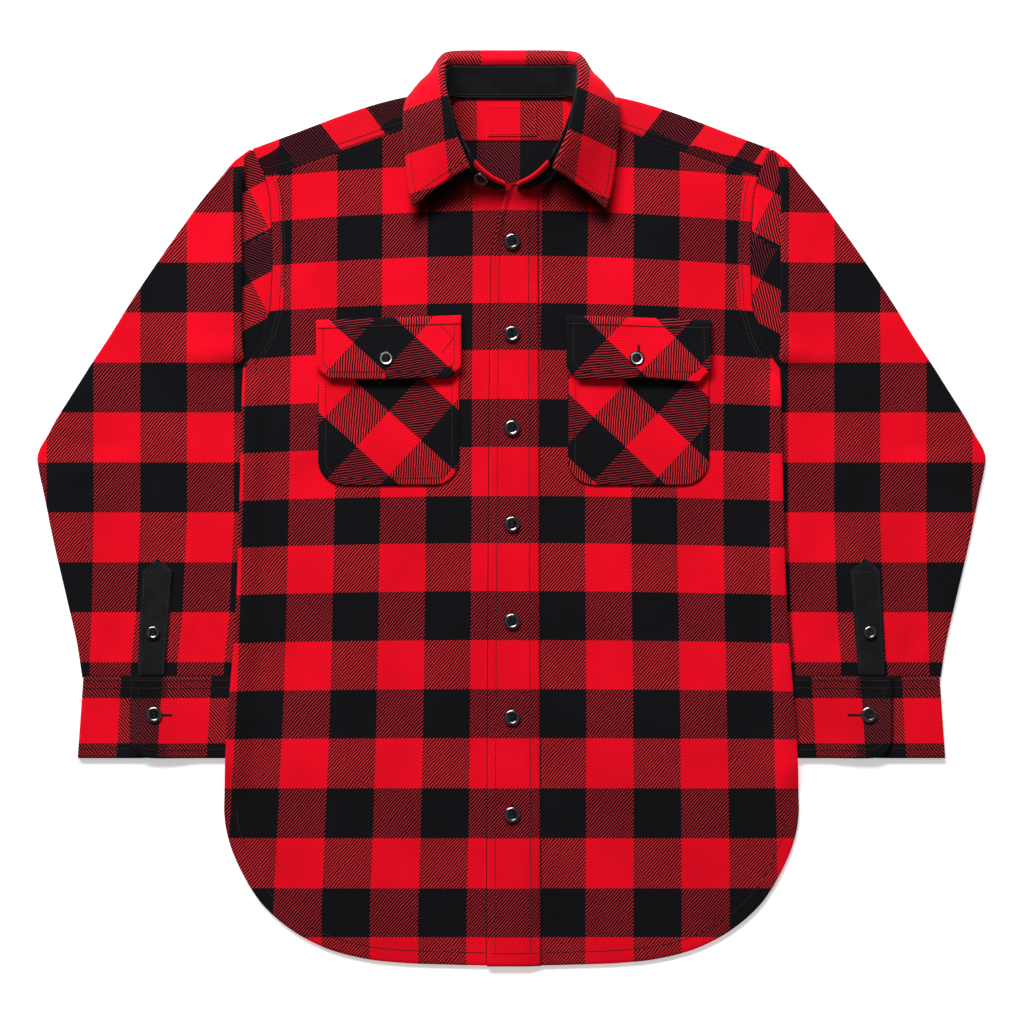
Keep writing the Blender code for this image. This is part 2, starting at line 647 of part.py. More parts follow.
def button(name, size, at, up=(0, 0, 1)):
    """A turned button with a raised rim and a dished middle."""
    diameter, height = size
    radius = diameter / 2
    profile = (          # radius share, height share
        (0.0, 0.0), (0.72, 0.0), (0.95, 0.3), (1.0, 0.62), (0.9, 1.0), (0.74, 0.95),
        (0.58, 0.6), (0.0, 0.55))
    turned = bmesh.new()
    points = [turned.verts.new((radius * r * MM, 0, height * z * MM)) for r, z in profile]
    edges = [turned.edges.new(pair) for pair in zip(points, points[1:])]
    bmesh.ops.spin(turned, geom=points + edges, axis=(0, 0, 1), cent=(0, 0, 0),
                   angle=math.tau, steps=16, use_merge=True)
    bmesh.ops.remove_doubles(turned, verts=turned.verts, dist=0.00001)
    piece = finish(name, turned, BUTTON, 0.25)
    piece.location = [value * MM for value in at]
    piece.rotation_mode = "QUATERNION"
    piece.rotation_quaternion = Vector(up).to_track_quat("Z", "Y")
    return piece


def seated(surface, x, y, above):
    """A point above a surface, clear of it under a whole button, and the direction away from it."""
    reach = 6.0
    along = Vector((2 * reach, 0, surface(x + reach, y) - surface(x - reach, y)))
    up = Vector((0, 2 * reach, surface(x, y + reach) - surface(x, y - reach)))
    normal = along.cross(up).normalized()
    centre = Vector((x, y, surface(x, y)))
    rim = 0.0
    for turn in range(8):
        angle = math.tau * turn / 8
        edge_x = x + SHIRT_BUTTON[0] / 2 * math.cos(angle)
        edge_y = y + SHIRT_BUTTON[0] / 2 * math.sin(angle)
        rim = max(rim, (Vector((edge_x, edge_y, surface(edge_x, edge_y))) - centre).dot(normal))
    return centre + normal * (above + rim), normal


def buttons():
    for index, y in enumerate(FRONT_BUTTONS_Y, start=1):
        at, normal = seated(placket_z, 0.5, y, SEAM + 0.15)
        button("button_front_%d" % index, SHIRT_BUTTON, at, normal)
    for side, sign in (("right", -1), ("left", 1)):
        w, y = POCKET_BUTTON_AT
        at, normal = seated(flap_z, sign * w, y, DOUBLE / 2)
        button("button_pocket_" + side, POCKET_BUTTON, at, normal)
        w, y = CUFF_BUTTON_AT
        z = DOUBLE / 2 + 2 * CUFF_LAYER + DOUBLE / 2 + SEAM
        button("button_cuff_" + side, SHIRT_BUTTON, (sign * w, y, z))
        w, y = GAUNTLET_BUTTON_AT
        z = sleeve_top_z(w, y) + WALL + LAP + WALL / 2 + SEAM + 0.1
        button("button_gauntlet_" + side, GAUNTLET_BUTTON, (sign * w, y, z))
    base_top = [through(STAND, STAND_BUTTON_STATION + step) for step in (-0.2, 0, 0.2)]
    spots = [Vector(mix(row[:3], row[3:], STAND_BUTTON_SHARE)) for row in base_top]
    rise = Vector(base_top[1][3:]) - Vector(base_top[1][:3])
    normal = (spots[2] - spots[0]).cross(rise).normalized()
    if normal.y > 0:
        normal.negate()
    at = spots[1] + normal * (DOUBLE / 2 + SEAM + 0.15)
    button("button_stand", SHIRT_BUTTON, (-at.x, at.y, at.z), (-normal.x, normal.y, normal.z))


def clear_scene():
    for piece in list(bpy.data.objects):
        bpy.data.objects.remove(piece, do_unlink=True)


def main():
    clear_scene()
    back_panel()
    fronts()
    placket()
    yoke()
    neck_facing()
    sleeves()
    cuffs()
    gauntlets()
    chest_pockets()
    collar_stand()
    collar()
    buttons()


main()
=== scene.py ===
import bisect
import math

import bmesh
import bpy
from mathutils import Matrix, Vector


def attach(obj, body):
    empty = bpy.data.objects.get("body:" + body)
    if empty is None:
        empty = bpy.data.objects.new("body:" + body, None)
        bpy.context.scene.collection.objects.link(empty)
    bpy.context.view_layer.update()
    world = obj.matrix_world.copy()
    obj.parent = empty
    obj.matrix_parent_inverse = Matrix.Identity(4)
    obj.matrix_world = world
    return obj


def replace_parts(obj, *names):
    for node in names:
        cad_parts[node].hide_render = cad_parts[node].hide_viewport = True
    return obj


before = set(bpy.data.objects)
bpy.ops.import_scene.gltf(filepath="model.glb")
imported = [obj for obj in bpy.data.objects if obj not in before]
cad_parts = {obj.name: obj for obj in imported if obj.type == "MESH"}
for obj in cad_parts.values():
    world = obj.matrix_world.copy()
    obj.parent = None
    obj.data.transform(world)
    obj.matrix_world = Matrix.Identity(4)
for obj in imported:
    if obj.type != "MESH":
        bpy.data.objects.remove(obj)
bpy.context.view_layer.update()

mm = 0.001

# The shirt lies on its back with the collar towards +Y. Lengths are in millimetres up to the mesh.
# Left and right are the wearer's.
sides = ((-1, "right"), (1, "left"))
upward = Vector((0, 0, 1))


def ramp(value, low, high):      # 0 at low, 1 at high, soft at both ends
    share = min(max((value - low) / (high - low), 0.0), 1.0)
    return share * share * (3 - 2 * share)


def mix(first, second, share):
    return first + (second - first) * share


def straight(rows):      # a straight-sided curve through rows of key, value
    keys = [row[0] for row in rows]
    values = [row[1] for row in rows]

    def at(key):
        index = min(max(bisect.bisect(keys, key) - 1, 0), len(keys) - 2)
        share = (key - keys[index]) / (keys[index + 1] - keys[index])
        return mix(values[index], values[index + 1], min(max(share, 0.0), 1.0))
    return at


def smooth(rows):      # a smooth curve through rows of key, values
    keys = [row[0] for row in rows]
    values = [row[1:] for row in rows]
    last = len(keys) - 1
    steps = [after - before for before, after in zip(keys, keys[1:])]
    rises = [[(b - a) / step for a, b in zip(low, high)] for low, high, step in zip(values, values[1:], steps)]
    slopes = [rises[0]]
    for before, after, first, second in zip(steps, steps[1:], rises, rises[1:]):
        slopes.append([(a * after + b * before) / (before + after) for a, b in zip(first, second)])
    slopes.append(rises[-1])

    def at(key):
        index = min(max(bisect.bisect(keys, key) - 1, 0), last - 1)
        step = steps[index]
        s = min(max((key - keys[index]) / step, 0.0), 1.0)
        q, c = s * s, s * s * s
        weights = (2 * c - 3 * q + 1, (c - 2 * q + s) * step, 3 * q - 2 * c, (c - q) * step)
        corners = zip(values[index], slopes[index], values[index + 1], slopes[index + 1])
        found = [sum(weight * value for weight, value in zip(weights, corner)) for corner in corners]
        return found[0] if len(found) == 1 else found
    return at


def smoothRows(rows):      # a smooth curve through evenly numbered rows
    return smooth([(index, *row) for index, row in enumerate(rows)])


creaseShape = dict(bow=0.06, level=0.4, reach=3)      # bend of its middle line, and how many widths it reaches


def rotated(dx, dy, degrees):      # shares of a step along and across a direction
    c, s = math.cos(math.radians(degrees)), math.sin(math.radians(degrees))
    return dx * c + dy * s, dy * c - dx * s


def creased(x, y, creases):      # height of listed soft troughs and ridges at a point
    height = 0.0
    for middleX, middleY, length, width, turn, depth in creases:
        dx, dy = x - middleX, y - middleY
        if abs(dx) > length or abs(dy) > length:
            continue
        along, across = rotated(dx, dy, turn)
        along /= length / 2
        across = (across - creaseShape["bow"] * length * (along * along - creaseShape["level"])) / width
        if abs(along) < 1 and abs(across) < creaseShape["reach"]:
            height += depth * (1 - along * along) ** 2 * math.exp(-across * across)
    return height


def toMesh(name, shape):      # ends a bmesh
    mesh = bpy.data.meshes.new(name)
    shape.to_mesh(mesh)
    shape.free()
    return mesh


def addObject(name, data):
    made = bpy.data.objects.new(name, data)
    bpy.context.scene.collection.objects.link(made)
    return made


def addPiece(name, mesh, slotName, *materials):      # a smooth piece that goes with the shirt
    mesh.shade_smooth()
    for material in materials:
        mesh.materials.append(material)
    piece = addObject(name, mesh)
    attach(piece, "root")
    return piece


class Nodes:      # short calls for building a material
    def __init__(self, name):
        self.material = bpy.data.materials.new(name)
        self.material.use_nodes = True
        self.tree = self.material.node_tree
        self.surface = self.tree.nodes["Principled BSDF"]

    def feed(self, node, inputs):      # links or sets each input
        for socket, value in inputs.items():
            if isinstance(value, bpy.types.NodeSocket):
                self.tree.links.new(value, node.inputs[socket])
            else:
                node.inputs[socket].default_value = value

    def add(self, kind, inputs=None, **settings):
        node = self.tree.nodes.new(kind)
        for key, value in settings.items():
            setattr(node, key, value)
        self.feed(node, inputs or {})
        return node

    def uv(self, layer):
        return self.add("ShaderNodeUVMap", uv_map=layer).outputs[0]

    def attribute(self, layer):
        return self.add("ShaderNodeAttribute", attribute_name=layer).outputs["Fac"]

    def place(self):
        return self.add("ShaderNodeTexCoord").outputs["Object"]

    def parts(self, vector):      # its first two numbers
        return self.add("ShaderNodeSeparateXYZ", {0: vector}).outputs[:2]

    def math(self, operation, first, second=0.0, third=0.0):
        return self.add("ShaderNodeMath", {0: first, 1: second, 2: third}, operation=operation).outputs[0]

    def blend(self, share, first, second):      # colours
        node = self.add("ShaderNodeMix", data_type="RGBA")
        self.feed(node, {0: share, 6: first, 7: second})
        return node.outputs[2]

    def noise(self, vector, scale, detail):
        return self.add("ShaderNodeTexNoise", {"Vector": vector, "Scale": scale, "Detail": detail}).outputs[0]

    def spread(self, value, fromLow, fromHigh, toLow, toHigh, kind="LINEAR"):      # maps one range to another
        numbers = dict(enumerate((value, fromLow, fromHigh, toLow, toHigh)))
        return self.add("ShaderNodeMapRange", numbers, interpolation_type=kind).outputs[0]

    def bump(self, height, strength, distance):
        node = self.add("ShaderNodeBump", {"Height": height, "Strength": strength, "Distance": distance})
        self.feed(self.surface, {"Normal": node.outputs[0]})

    def finish(self, inputs):      # feeds the surface and gives the material
        self.feed(self.surface, inputs)
        return self.material


# Camera, floor and light
view = dict(place=(0.0005, -0.0033, 2.62), lens=97.9, sensor=36, farthest=30)
floorLook = dict(half=6, colour=(1.0, 1.0, 1.0, 1), glow=0.42)
lamps = dict(
    key=dict(power=306.0, place=(-1.2, 3.4, 2.8), size=(3.6, 1.2)),
    fill=dict(power=1.5, place=(0.95, -0.15, 1.9), size=(1.8, 1.8)))
skyLight = 0.15


def makeStudio():
    camera = addObject("camera", bpy.data.cameras.new("camera"))
    camera.data.lens = view["lens"]
    camera.data.sensor_width = view["sensor"]
    camera.data.clip_end = view["farthest"]
    camera.location = view["place"]
    bpy.context.scene.camera = camera

    ground = bmesh.new()
    bmesh.ops.create_grid(ground, x_segments=2, y_segments=2, size=floorLook["half"])
    floor = addObject("floor", toMesh("floor", ground))
    floor.data.materials.append(Nodes("pale floor").finish({
        "Base Color": floorLook["colour"], "Emission Color": floorLook["colour"],
        "Emission Strength": floorLook["glow"], "Roughness": 0.9, "Specular IOR Level": 0.1}))

    for name, look in lamps.items():
        lamp = bpy.data.lights.new(name + " light", "AREA")
        lamp.shape = "RECTANGLE"
        lamp.size, lamp.size_y = look["size"]
        lamp.energy = look["power"]
        holder = addObject(name + " light", lamp)
        holder.location = look["place"]
        holder.rotation_euler = (-holder.location).to_track_quat("-Z", "Y").to_euler()      # aimed at the shirt
    world = bpy.data.worlds.new("soft sky")
    world.use_nodes = True
    sky = world.node_tree.nodes["Background"].inputs
    sky["Color"].default_value = (1, 1, 1, 1)
    sky["Strength"].default_value = skyLight
    bpy.context.scene.world = world
    bpy.context.scene.view_settings.view_transform = "Standard"      # plain colours, no film curve


makeStudio()
print("studio ready")


# Cloth, thread and plain cotton
flannel = dict(
    red=(0.80, 0.0025, 0.015, 1), black=(0.0056, 0.0056, 0.0074, 1),
    mixedRed=(0.60, 0.020, 0.027, 1), dimRed=(0.44, 0.020, 0.027, 1), duskRed=(0.15, 0.022, 0.028, 1),
    mixedBlack=(0.007, 0.0012, 0.004, 1),
    lean=(-0.12, 0.42),         # how far black wins in cells of black warp and in cells of black weft
    duskLean=0.25,              # and how much further where red hardly shows
    across=3.1, along=3.5,      # twill repeat across and along the cloth
    softness=0.32,              # how gently a twill line turns into the next, of its half width
    wander=1.496,               # how far the lines wander, in repeats
    bends=(26.0, 150.0), quickBend=0.55,      # slow and quick wandering, and the share of the quick one
    shade=0.10, shadeSize=14.0,               # slow changes in brightness
    nap=0.16, blackNap=0.45, napSize=900.0,   # fine ones, on red and on black
    roughness=0.9, sheen=0.05, sheenRoughness=0.45, fibreSize=700.0, fibreHeight=0.9, ribHeight=0.22)


def makeFlannel(name, slant=1, bias=False, dark=0.0):      # a slant of 1 rises to the right and -1 falls
    look = flannel      # on the bias, the lines cross from one kind of mixed cell to the other
    nodes = Nodes(name)
    thread = nodes.uv("thread")
    right, up = nodes.parts(thread)
    # columns and rows of the check: an even cell is black
    blackWarp, blackWeft = [nodes.math("LESS_THAN", nodes.math("FLOORED_MODULO", cell, 2), 1)
                            for cell in nodes.parts(nodes.uv("cells"))]
    # twill lines
    slowBend, quickBend = [nodes.noise(thread, bend, detail) for bend, detail in zip(look["bends"], (1.0, 2.0))]
    wander = nodes.math("MULTIPLY_ADD", quickBend, look["quickBend"], slowBend)
    turn = nodes.math("MULTIPLY_ADD", blackWarp, 2, -1) if bias else slant
    phase = nodes.math("SUBTRACT", nodes.math("MULTIPLY", right, 1 / mm / look["across"]),
                       nodes.math("MULTIPLY", nodes.math("MULTIPLY", up, 1 / mm / look["along"]), turn))
    phase = nodes.math("MULTIPLY_ADD", wander, look["wander"], phase)
    wave = nodes.math("SINE", nodes.math("MULTIPLY", phase, math.tau))
    low, high = look["lean"][0] - dark, look["lean"][1] + dark
    dusk = nodes.attribute("dusk")      # 1 where red hardly shows
    tilt = nodes.math("MULTIPLY", dusk, nodes.math("MULTIPLY_ADD", blackWeft, look["duskLean"] * 2, -look["duskLean"]))
    leaning = nodes.math("ADD", nodes.math("ADD", wave, tilt),
                         nodes.math("MULTIPLY_ADD", blackWeft, high - low, low))
    weftOnTop = nodes.spread(leaning, -look["softness"], look["softness"], 0, 1, "SMOOTHSTEP")
    # colour
    isBlack = nodes.math("ADD", nodes.math("MULTIPLY", blackWeft, weftOnTop),
                         nodes.math("MULTIPLY", blackWarp, nodes.math("SUBTRACT", 1, weftOnTop)))
    mixed = nodes.math("ABSOLUTE", nodes.math("SUBTRACT", blackWarp, blackWeft))
    dim = [mix(value, value * 0.45, dark) for value in look["dimRed"][:3]] + [1]
    lines = nodes.spread(wave, 0.1, 0.7, 0, dark, "SMOOTHSTEP")      # dark lines in the red cells of the yoke
    red = nodes.blend(mixed, nodes.blend(lines, look["red"], look["dimRed"]),
                      nodes.blend(dusk, nodes.blend(blackWeft, look["mixedRed"], dim), look["duskRed"]))
    colour = nodes.blend(isBlack, red, nodes.blend(mixed, look["black"], look["mixedBlack"]))
    slow = nodes.spread(nodes.noise(thread, look["shadeSize"], 2.0), 0.3, 0.7, 1 - look["shade"], 1 + look["shade"])
    nap = nodes.math("MULTIPLY_ADD", isBlack, look["blackNap"] - look["nap"], look["nap"])
    speck = nodes.spread(nodes.noise(thread, look["napSize"], 3.0), 0.3, 0.7, -1, 1)
    lit = nodes.math("SUBTRACT", 1, nodes.attribute("deep"))      # 0 where no light gets in
    value = nodes.math("MULTIPLY", nodes.math("MULTIPLY", slow, nodes.math("MULTIPLY_ADD", speck, nap, 1)), lit)
    shaded = nodes.add("ShaderNodeHueSaturation", {"Color": colour, "Value": value})
    # ribs of the twill and short brushed fibres
    fibres = nodes.noise(thread, look["fibreSize"], 4.0)
    nodes.bump(nodes.math("ADD", nodes.math("MULTIPLY", wave, look["ribHeight"]),
                          nodes.math("MULTIPLY", fibres, look["fibreHeight"])), 0.5, 0.5 * mm)
    rough = nodes.spread(fibres, 0.3, 0.7, look["roughness"] - 0.06, look["roughness"] + 0.06)
    return nodes.finish({"Base Color": shaded.outputs[0], "Roughness": rough, "Specular IOR Level": 0.05,
                         "Sheen Weight": look["sheen"], "Sheen Roughness": look["sheenRoughness"]})


cotton = dict(colour=(0.0055, 0.0055, 0.0067, 1), worn=(0.013, 0.013, 0.0155, 1), fibreSize=900.0, wearSize=40.0,
              weave=260.0, weaveHeight=0.4, roughness=0.85, sheen=0.06)


def makeCotton(name):      # plain black brushed cotton
    nodes = Nodes(name)
    thread = nodes.uv("thread")
    fibres = nodes.noise(thread, cotton["fibreSize"], 4.0)
    wear = nodes.math("MULTIPLY_ADD", nodes.noise(thread, cotton["wearSize"], 3.0), 0.6,
                      nodes.math("MULTIPLY", fibres, 0.4))
    worn = nodes.spread(wear, 0.35, 0.68, 0, 1, "SMOOTHSTEP")
    weave = nodes.add("ShaderNodeTexWave", {"Vector": thread, "Scale": cotton["weave"], "Distortion": 1.5},
                      bands_direction="DIAGONAL")
    nodes.bump(nodes.math("MULTIPLY_ADD", weave.outputs[1], cotton["weaveHeight"], fibres), 0.45, 0.4 * mm)
    return nodes.finish({"Base Color": nodes.blend(worn, cotton["colour"], cotton["worn"]),
                         "Roughness": cotton["roughness"], "Specular IOR Level": 0.1,
                         "Sheen Weight": cotton["sheen"], "Sheen Roughness": 0.4})


yarn = dict(grain=2200.0, bump=0.2, specular=0.3)


def makeThread(name, colour, lighter, roughness, sheen=0.1):
    nodes = Nodes(name)
    fibres = nodes.noise(nodes.place(), yarn["grain"], 3.0)
    share = nodes.spread(fibres, 0.32, 0.68, 0, 1, "SMOOTHSTEP")
    nodes.bump(fibres, 0.4, yarn["bump"] * mm)
    return nodes.finish({"Base Color": nodes.blend(share, colour, lighter),
                         "Roughness": nodes.spread(fibres, 0.3, 0.7, roughness * 0.9, roughness * 1.1),
                         "Specular IOR Level": yarn["specular"], "Sheen Weight": sheen})


risingFlannel = makeFlannel("rising flannel twill")
fallingFlannel = makeFlannel("falling flannel twill", slant=-1)
biasFlannel = makeFlannel("bias flannel twill", bias=True)
yokeFlannel = makeFlannel("yoke flannel twill", slant=-1, dark=0.35)
blackCotton = makeCotton("black brushed cotton")
redThread = makeThread("dark red thread", (0.012, 0.0008, 0.0018, 1), (0.035, 0.001, 0.003, 1), 0.7)
# Dark seam lines: partly the joints' own thread, partly painted shadow beside the edges; the buttonhole lips use it
# too
seamAndShadowThread = makeThread("dark seam and painted shadow thread", (0.006, 0.0008, 0.0015, 1), (0.02, 0.001, 0.002, 1), 0.8, sheen=0.0)
labelThread = makeThread("red thread", (0.38, 0.003, 0.010, 1), (0.50, 0.005, 0.014, 1), 0.7)
blackThread = makeThread("black thread", (0.006, 0.006, 0.008, 1), (0.016, 0.016, 0.02, 1), 0.6)
print("materials ready")


def makeCloth(name, grid, place, material, thickness, node, slotName):
    # place takes shares across and up the grid, and gives the point, the thread place, the cell place,
    # how little red shows there and how deep in shade it lies
    cloth = bmesh.new()
    bmesh.ops.create_grid(cloth, x_segments=grid[0], y_segments=grid[1], size=1)
    threadUv, cellUv = [cloth.loops.layers.uv.new(layer) for layer in ("thread", "cells")]
    duskLayer, deepLayer = [cloth.verts.layers.float.new(layer) for layer in ("dusk", "deep")]
    spots = []
    for index, vert in enumerate(cloth.verts):
        vert.index = index
        found = place((vert.co.x + 1) / 2, (vert.co.y + 1) / 2)
        spots.append(found)
        if found is not None:
            vert.co = Vector(found[0]) * mm
            vert[duskLayer], vert[deepLayer] = (*found[3:], 0, 0)[:2]
    for face in cloth.faces:
        for loop in face.loops:
            found = spots[loop.vert.index]
            if found is not None:
                loop[threadUv].uv = found[1][0] * mm, found[1][1] * mm
                loop[cellUv].uv = found[2]
    unused = [vert for vert in cloth.verts if spots[vert.index] is None]
    bmesh.ops.delete(cloth, geom=unused, context="VERTS")
    bmesh.ops.recalc_face_normals(cloth, faces=cloth.faces)
    piece = addPiece(name, toMesh(name, cloth), slotName, material)
    wall = piece.modifiers.new("cloth", "SOLIDIFY")
    wall.thickness = thickness * mm
    wall.offset = 0
    wall.use_even_offset = False
    even = piece.modifiers.new("even shading", "WEIGHTED_NORMAL")      # keeps the cut edges crisp
    even.weight = 90
    if node:
        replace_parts(piece, node)
    return piece


# The body: outline, height and check
body = dict(
    cloth=1.5, double=2.4, placket=2.2, seam=0.3, gap=0.15, lap=0.45, backHeight=0.75, frontHeight=2.75,
    armpit=131.0, sideLift=5.9, cornerHeight=313.35, tailX=246.8, tailTop=-283.0, tailY=-354.0, hem=-430.0,
    neckTop=297.0)
sideLine = smooth([(-283, 270.3), (-234, 268.6), (-170, 264.2), (-131, 260.9), (-81, 258.0), (8, 255.2),
                   (131, 252.4)])
hemLine = smooth([(0, -430), (60, -428.6), (102, -427), (135, -423.5), (181, -410.3), (206.3, -396.2),
                  (224.2, -382), (237.4, -368), (246.8, -354)])
tailLine = smooth([(-354, 246.8), (-340, 254.3), (-318, 263.8), (-297, 269), (-283, 270.3)])
armhole = straight([(131, 252.4), (139.6, 246.6), (158.4, 235.5), (188.5, 226.6), (224, 224.8),
                    (248, 225.0), (270, 225.8), (292.8, 227.3), (313.5, 232.2), (327, 238), (337, 243)])
yokeSeam = smooth([(56, 371.8), (102.9, 355.8), (162.2, 335.1), (219, 316.8), (243, 310.5)])
shoulder = smooth([(56, 391.5), (101, 385.6), (217.6, 346.4), (243, 337)])
neckline = smooth([(-20, 300), (-6, 303.6), (6, 304.4), (22, 304), (39, 311), (44.5, 322), (50, 335), (57, 355),
                   (60, 370.3)])
placketEdges = smooth([(-430, -23.2, 27.6), (-300, -22.8, 27.2), (0, -21.2, 26.2), (200, -19.4, 25.5),
                       (237, -18.6, 25.3), (262, -13.8, 25.1), (281, -8.5, 25.0), (297, 0.6, 25.0)])
frontCreases = (      # middle x and y, length, width, turn in degrees, height
    (-168, 92, 150, 13, 42, -0.9), (-196, 60, 110, 10, 48, 0.7), (-120, -40, 170, 20, 68, 0.8),
    (-205, -90, 150, 14, 80, -0.7), (-160, -170, 190, 17, 74, 0.7), (-75, -120, 150, 15, 96, -0.5),
    (-215, -250, 140, 15, 64, 0.8), (-120, -300, 160, 19, 84, -0.7), (-60, -360, 110, 13, 100, 0.5),
    (175, 84, 160, 12, -44, -0.9), (206, 46, 100, 11, -52, 0.7), (128, -30, 150, 18, -72, 0.8),
    (212, -110, 170, 15, -78, -0.7), (150, -200, 170, 20, -70, 0.8), (82, -150, 140, 14, -98, -0.5),
    (205, -270, 150, 13, -60, 0.7), (118, -330, 150, 18, -88, -0.6), (64, -270, 120, 12, -80, 0.5),
    (-120, 262, 120, 11, 18, -0.7), (-185, 230, 110, 12, 62, 0.7), (-88, 225, 70, 9, 35, 0.5),
    (124, 262, 110, 12, -20, -0.7), (188, 236, 120, 11, -60, 0.7), (80, 232, 80, 10, -30, 0.5),
    (-30, -230, 150, 12, 92, -0.4), (36, 60, 170, 12, 88, -0.4))
backCreases = (
    (-120, 150, 220, 20, 60, 0.5), (110, 60, 240, 22, 110, 0.5), (0, -120, 260, 24, 80, 0.5),
    (-150, -220, 200, 18, 72, 0.5), (160, -260, 190, 18, 100, 0.5), (60, 210, 150, 16, 30, 0.5))
neckSwell = dict(middleY=375, halfX=62, halfY=77, low=6.0, high=8.6, top=372, reach=0.55)
softFront = dict(rise=0.9, edge=70, foldEdge=(2, 30))      # air in the body, away from its edges


def bodyWidth(y):
    if y > body["armpit"]:
        return armhole(y)
    return tailLine(y) if y < body["tailTop"] else sideLine(y)


def neckRise(x, y):      # the fronts rise towards the stand
    look = neckSwell
    distance = math.hypot(x / look["halfX"], (y - look["middleY"]) / look["halfY"]) - 1
    height = mix(look["low"], look["high"], ramp(y, look["top"], look["top"] - 70))
    return height * math.exp(-(distance / look["reach"]) ** 2)


def frontZ(x, y):      # middle of the upper layer of the body
    inset = bodyWidth(y) - abs(x)
    inside = ramp(inset, 0, softFront["edge"]) * ramp(y, body["hem"], body["hem"] + 80)
    soft = softFront["rise"] + 0.5 * math.sin(x / 47 + y / 160) + 0.4 * math.sin(y / 61 - x / 210)
    folds = creased(x, y, frontCreases) * ramp(inset, *softFront["foldEdge"])
    return body["frontHeight"] + max(inside * soft + folds, 0) + neckRise(x, y)


def sideLift(sideY, inset):      # the sides stand up a little between the armpit and the tail
    along = ramp(sideY, -270, -234) * (1 - ramp(sideY, 106, body["armpit"]))
    return body["sideLift"] * along * (1 - ramp(inset, 8, 27))


def levelY(sideY, w, width):      # levels bend like the hem low down and run straight higher up
    drop = body["hem"] - body["tailY"]
    share = (hemLine(min(abs(w) / width, 1.0) * body["tailX"]) - body["tailY"]) / drop
    return sideY + drop * ramp(-sideY, 120, -body["tailY"]) * share


def topSeamY(w):
    return (yokeSeam(w) if w > 60 else neckline(w)) - body["seam"] / 2


# The check was charted in steps of 0.94 mm, from 511.5 steps left of the middle and 508.5 above it
chart = dict(step=0.94, middleX=511.5, middleY=508.5, columnsPart=505, armTop=310, farSide=1020.5)
rowLines = [118, 165, 211, 256, 303, 350, 399, 447, 496, 543, 591, 640, 689, 738, 788, 838, 888, 937, 986]
rowAt = straight([(line, index) for index, line in enumerate(rowLines)])
leftColumns = smooth([(224, 473, 45.2), (520, 471.5, 45.7), (714, 470, 46.7), (815, 469, 47.7),
                      (912, 466.5, 48.3)])
rightColumns = smooth([(224, 542, 45.9), (520, 539, 46.1), (714, 539.5, 46.8), (815, 538.3, 47.6),
                       (912, 537.3, 48.1)])
rowDroop = straight([(165, 13), (220, 11.8), (264, 10.6), (310, 8.8), (357, 8.3), (404, 6.6), (452, 5.8),
                     (499, 4.2), (547, 4.0), (594, 3.2), (642, 2.5), (690, 1.5), (740, 0.7), (790, 0)])
armStrip = straight([(165, 277), (190, 279), (220, 282), (240, 283), (310, 283.6)])


def charted(x, y):
    return chart["middleX"] + x / chart["step"], chart["middleY"] - y / chart["step"]


def bodyCells(x, y):      # column and row of the check
    u, v = charted(x, y)
    row = rowAt(v - rowDroop(v) * ((u - chart["middleX"]) / 250) ** 2)
    onLeft = u < chart["columnsPart"]
    origin, pitch = leftColumns(v) if onLeft else rightColumns(v)
    column = max((origin - u if onLeft else u - origin) / pitch, -0.9)
    if v < chart["armTop"] and min(u, chart["farSide"] - u) < armStrip(v):      # the next column, beside the armhole
        column = 5.5
    return column, row


def placeBack(a, b):
    side = 2 * a - 1
    split = 0.7      # share of the height below the armpit
    if b < split:
        level = mix(body["tailY"], body["armpit"], b / split)
        width = bodyWidth(level) - body["gap"]
        w = abs(side) * width
        y = levelY(level, w, width)
        folds = creased(side * width, y, backCreases)
        z = body["backHeight"] + sideLift(level, width - w) + max(folds, 0) * ramp(width - w, 10, 60) * 0.6
    else:
        y = mix(body["armpit"], yokeShape["backSeam"] - body["gap"], (b - split) / (1 - split))
        w = abs(side) * (bodyWidth(y) - 0.02)
        z = body["backHeight"] + max(creased(side * w, y, backCreases), 0) * 0.6
    x = math.copysign(w, side)
    return (x, y, z), (x, y), bodyCells(x, y)


collarShade = dict(neckY=306, pointX=92.8, pointY=284.2, slope=0.70, depth=(0.6, 0.94), reach=(30, 36), full=9)


def underCollar(out, y):      # how deep the cloth lies in the collar's shade
    look = collarShade
    underLeaf = ramp(out, 34, 41)
    edge = mix(look["neckY"], look["pointY"] + (look["pointX"] - out) * look["slope"], underLeaf)
    depth = mix(*look["depth"], ramp(out, 27, 40)) * ramp(out, 98, 86)
    return depth * ramp(edge - y, mix(*look["reach"], underLeaf), look["full"])


def frontPlace(side, last):      # side is -1 for the right front, and last gives its free edge
    split = 0.72

    def place(a, b):
        if b < split:
            level = mix(body["tailY"], body["armpit"], b / split)
            width = bodyWidth(level) - body["gap"]
            w = mix(width, last(level), a)
            y = levelY(level, w, width)
            z = frontZ(side * w, y) + sideLift(level, width - w)
        else:
            step = (b - split) / (1 - split)
            edgeY = mix(body["armpit"], body["cornerHeight"], step)
            w = mix(armhole(edgeY) - 0.02, last(mix(body["armpit"], body["neckTop"], step)), a)
            y = mix(mix(body["armpit"], topSeamY(max(w, -15)), step), edgeY, max(0, 1 - a * 30))
            z = frontZ(side * w, y)
        return (side * w, y, z), (side * w, y), bodyCells(side * w, y), 0, underCollar(w, y)
    return place


placketRoll = dict(rise=1.7, dip=0.9, dipAt=6.2, dipHalf=1.5, start=215, end=262)


def placketHeight(x):      # above the middle of the front
    over = (body["cloth"] + body["placket"]) / 2 + body["lap"]
    return mix(over, 0.35, ramp(x, 13.7, 25.5))


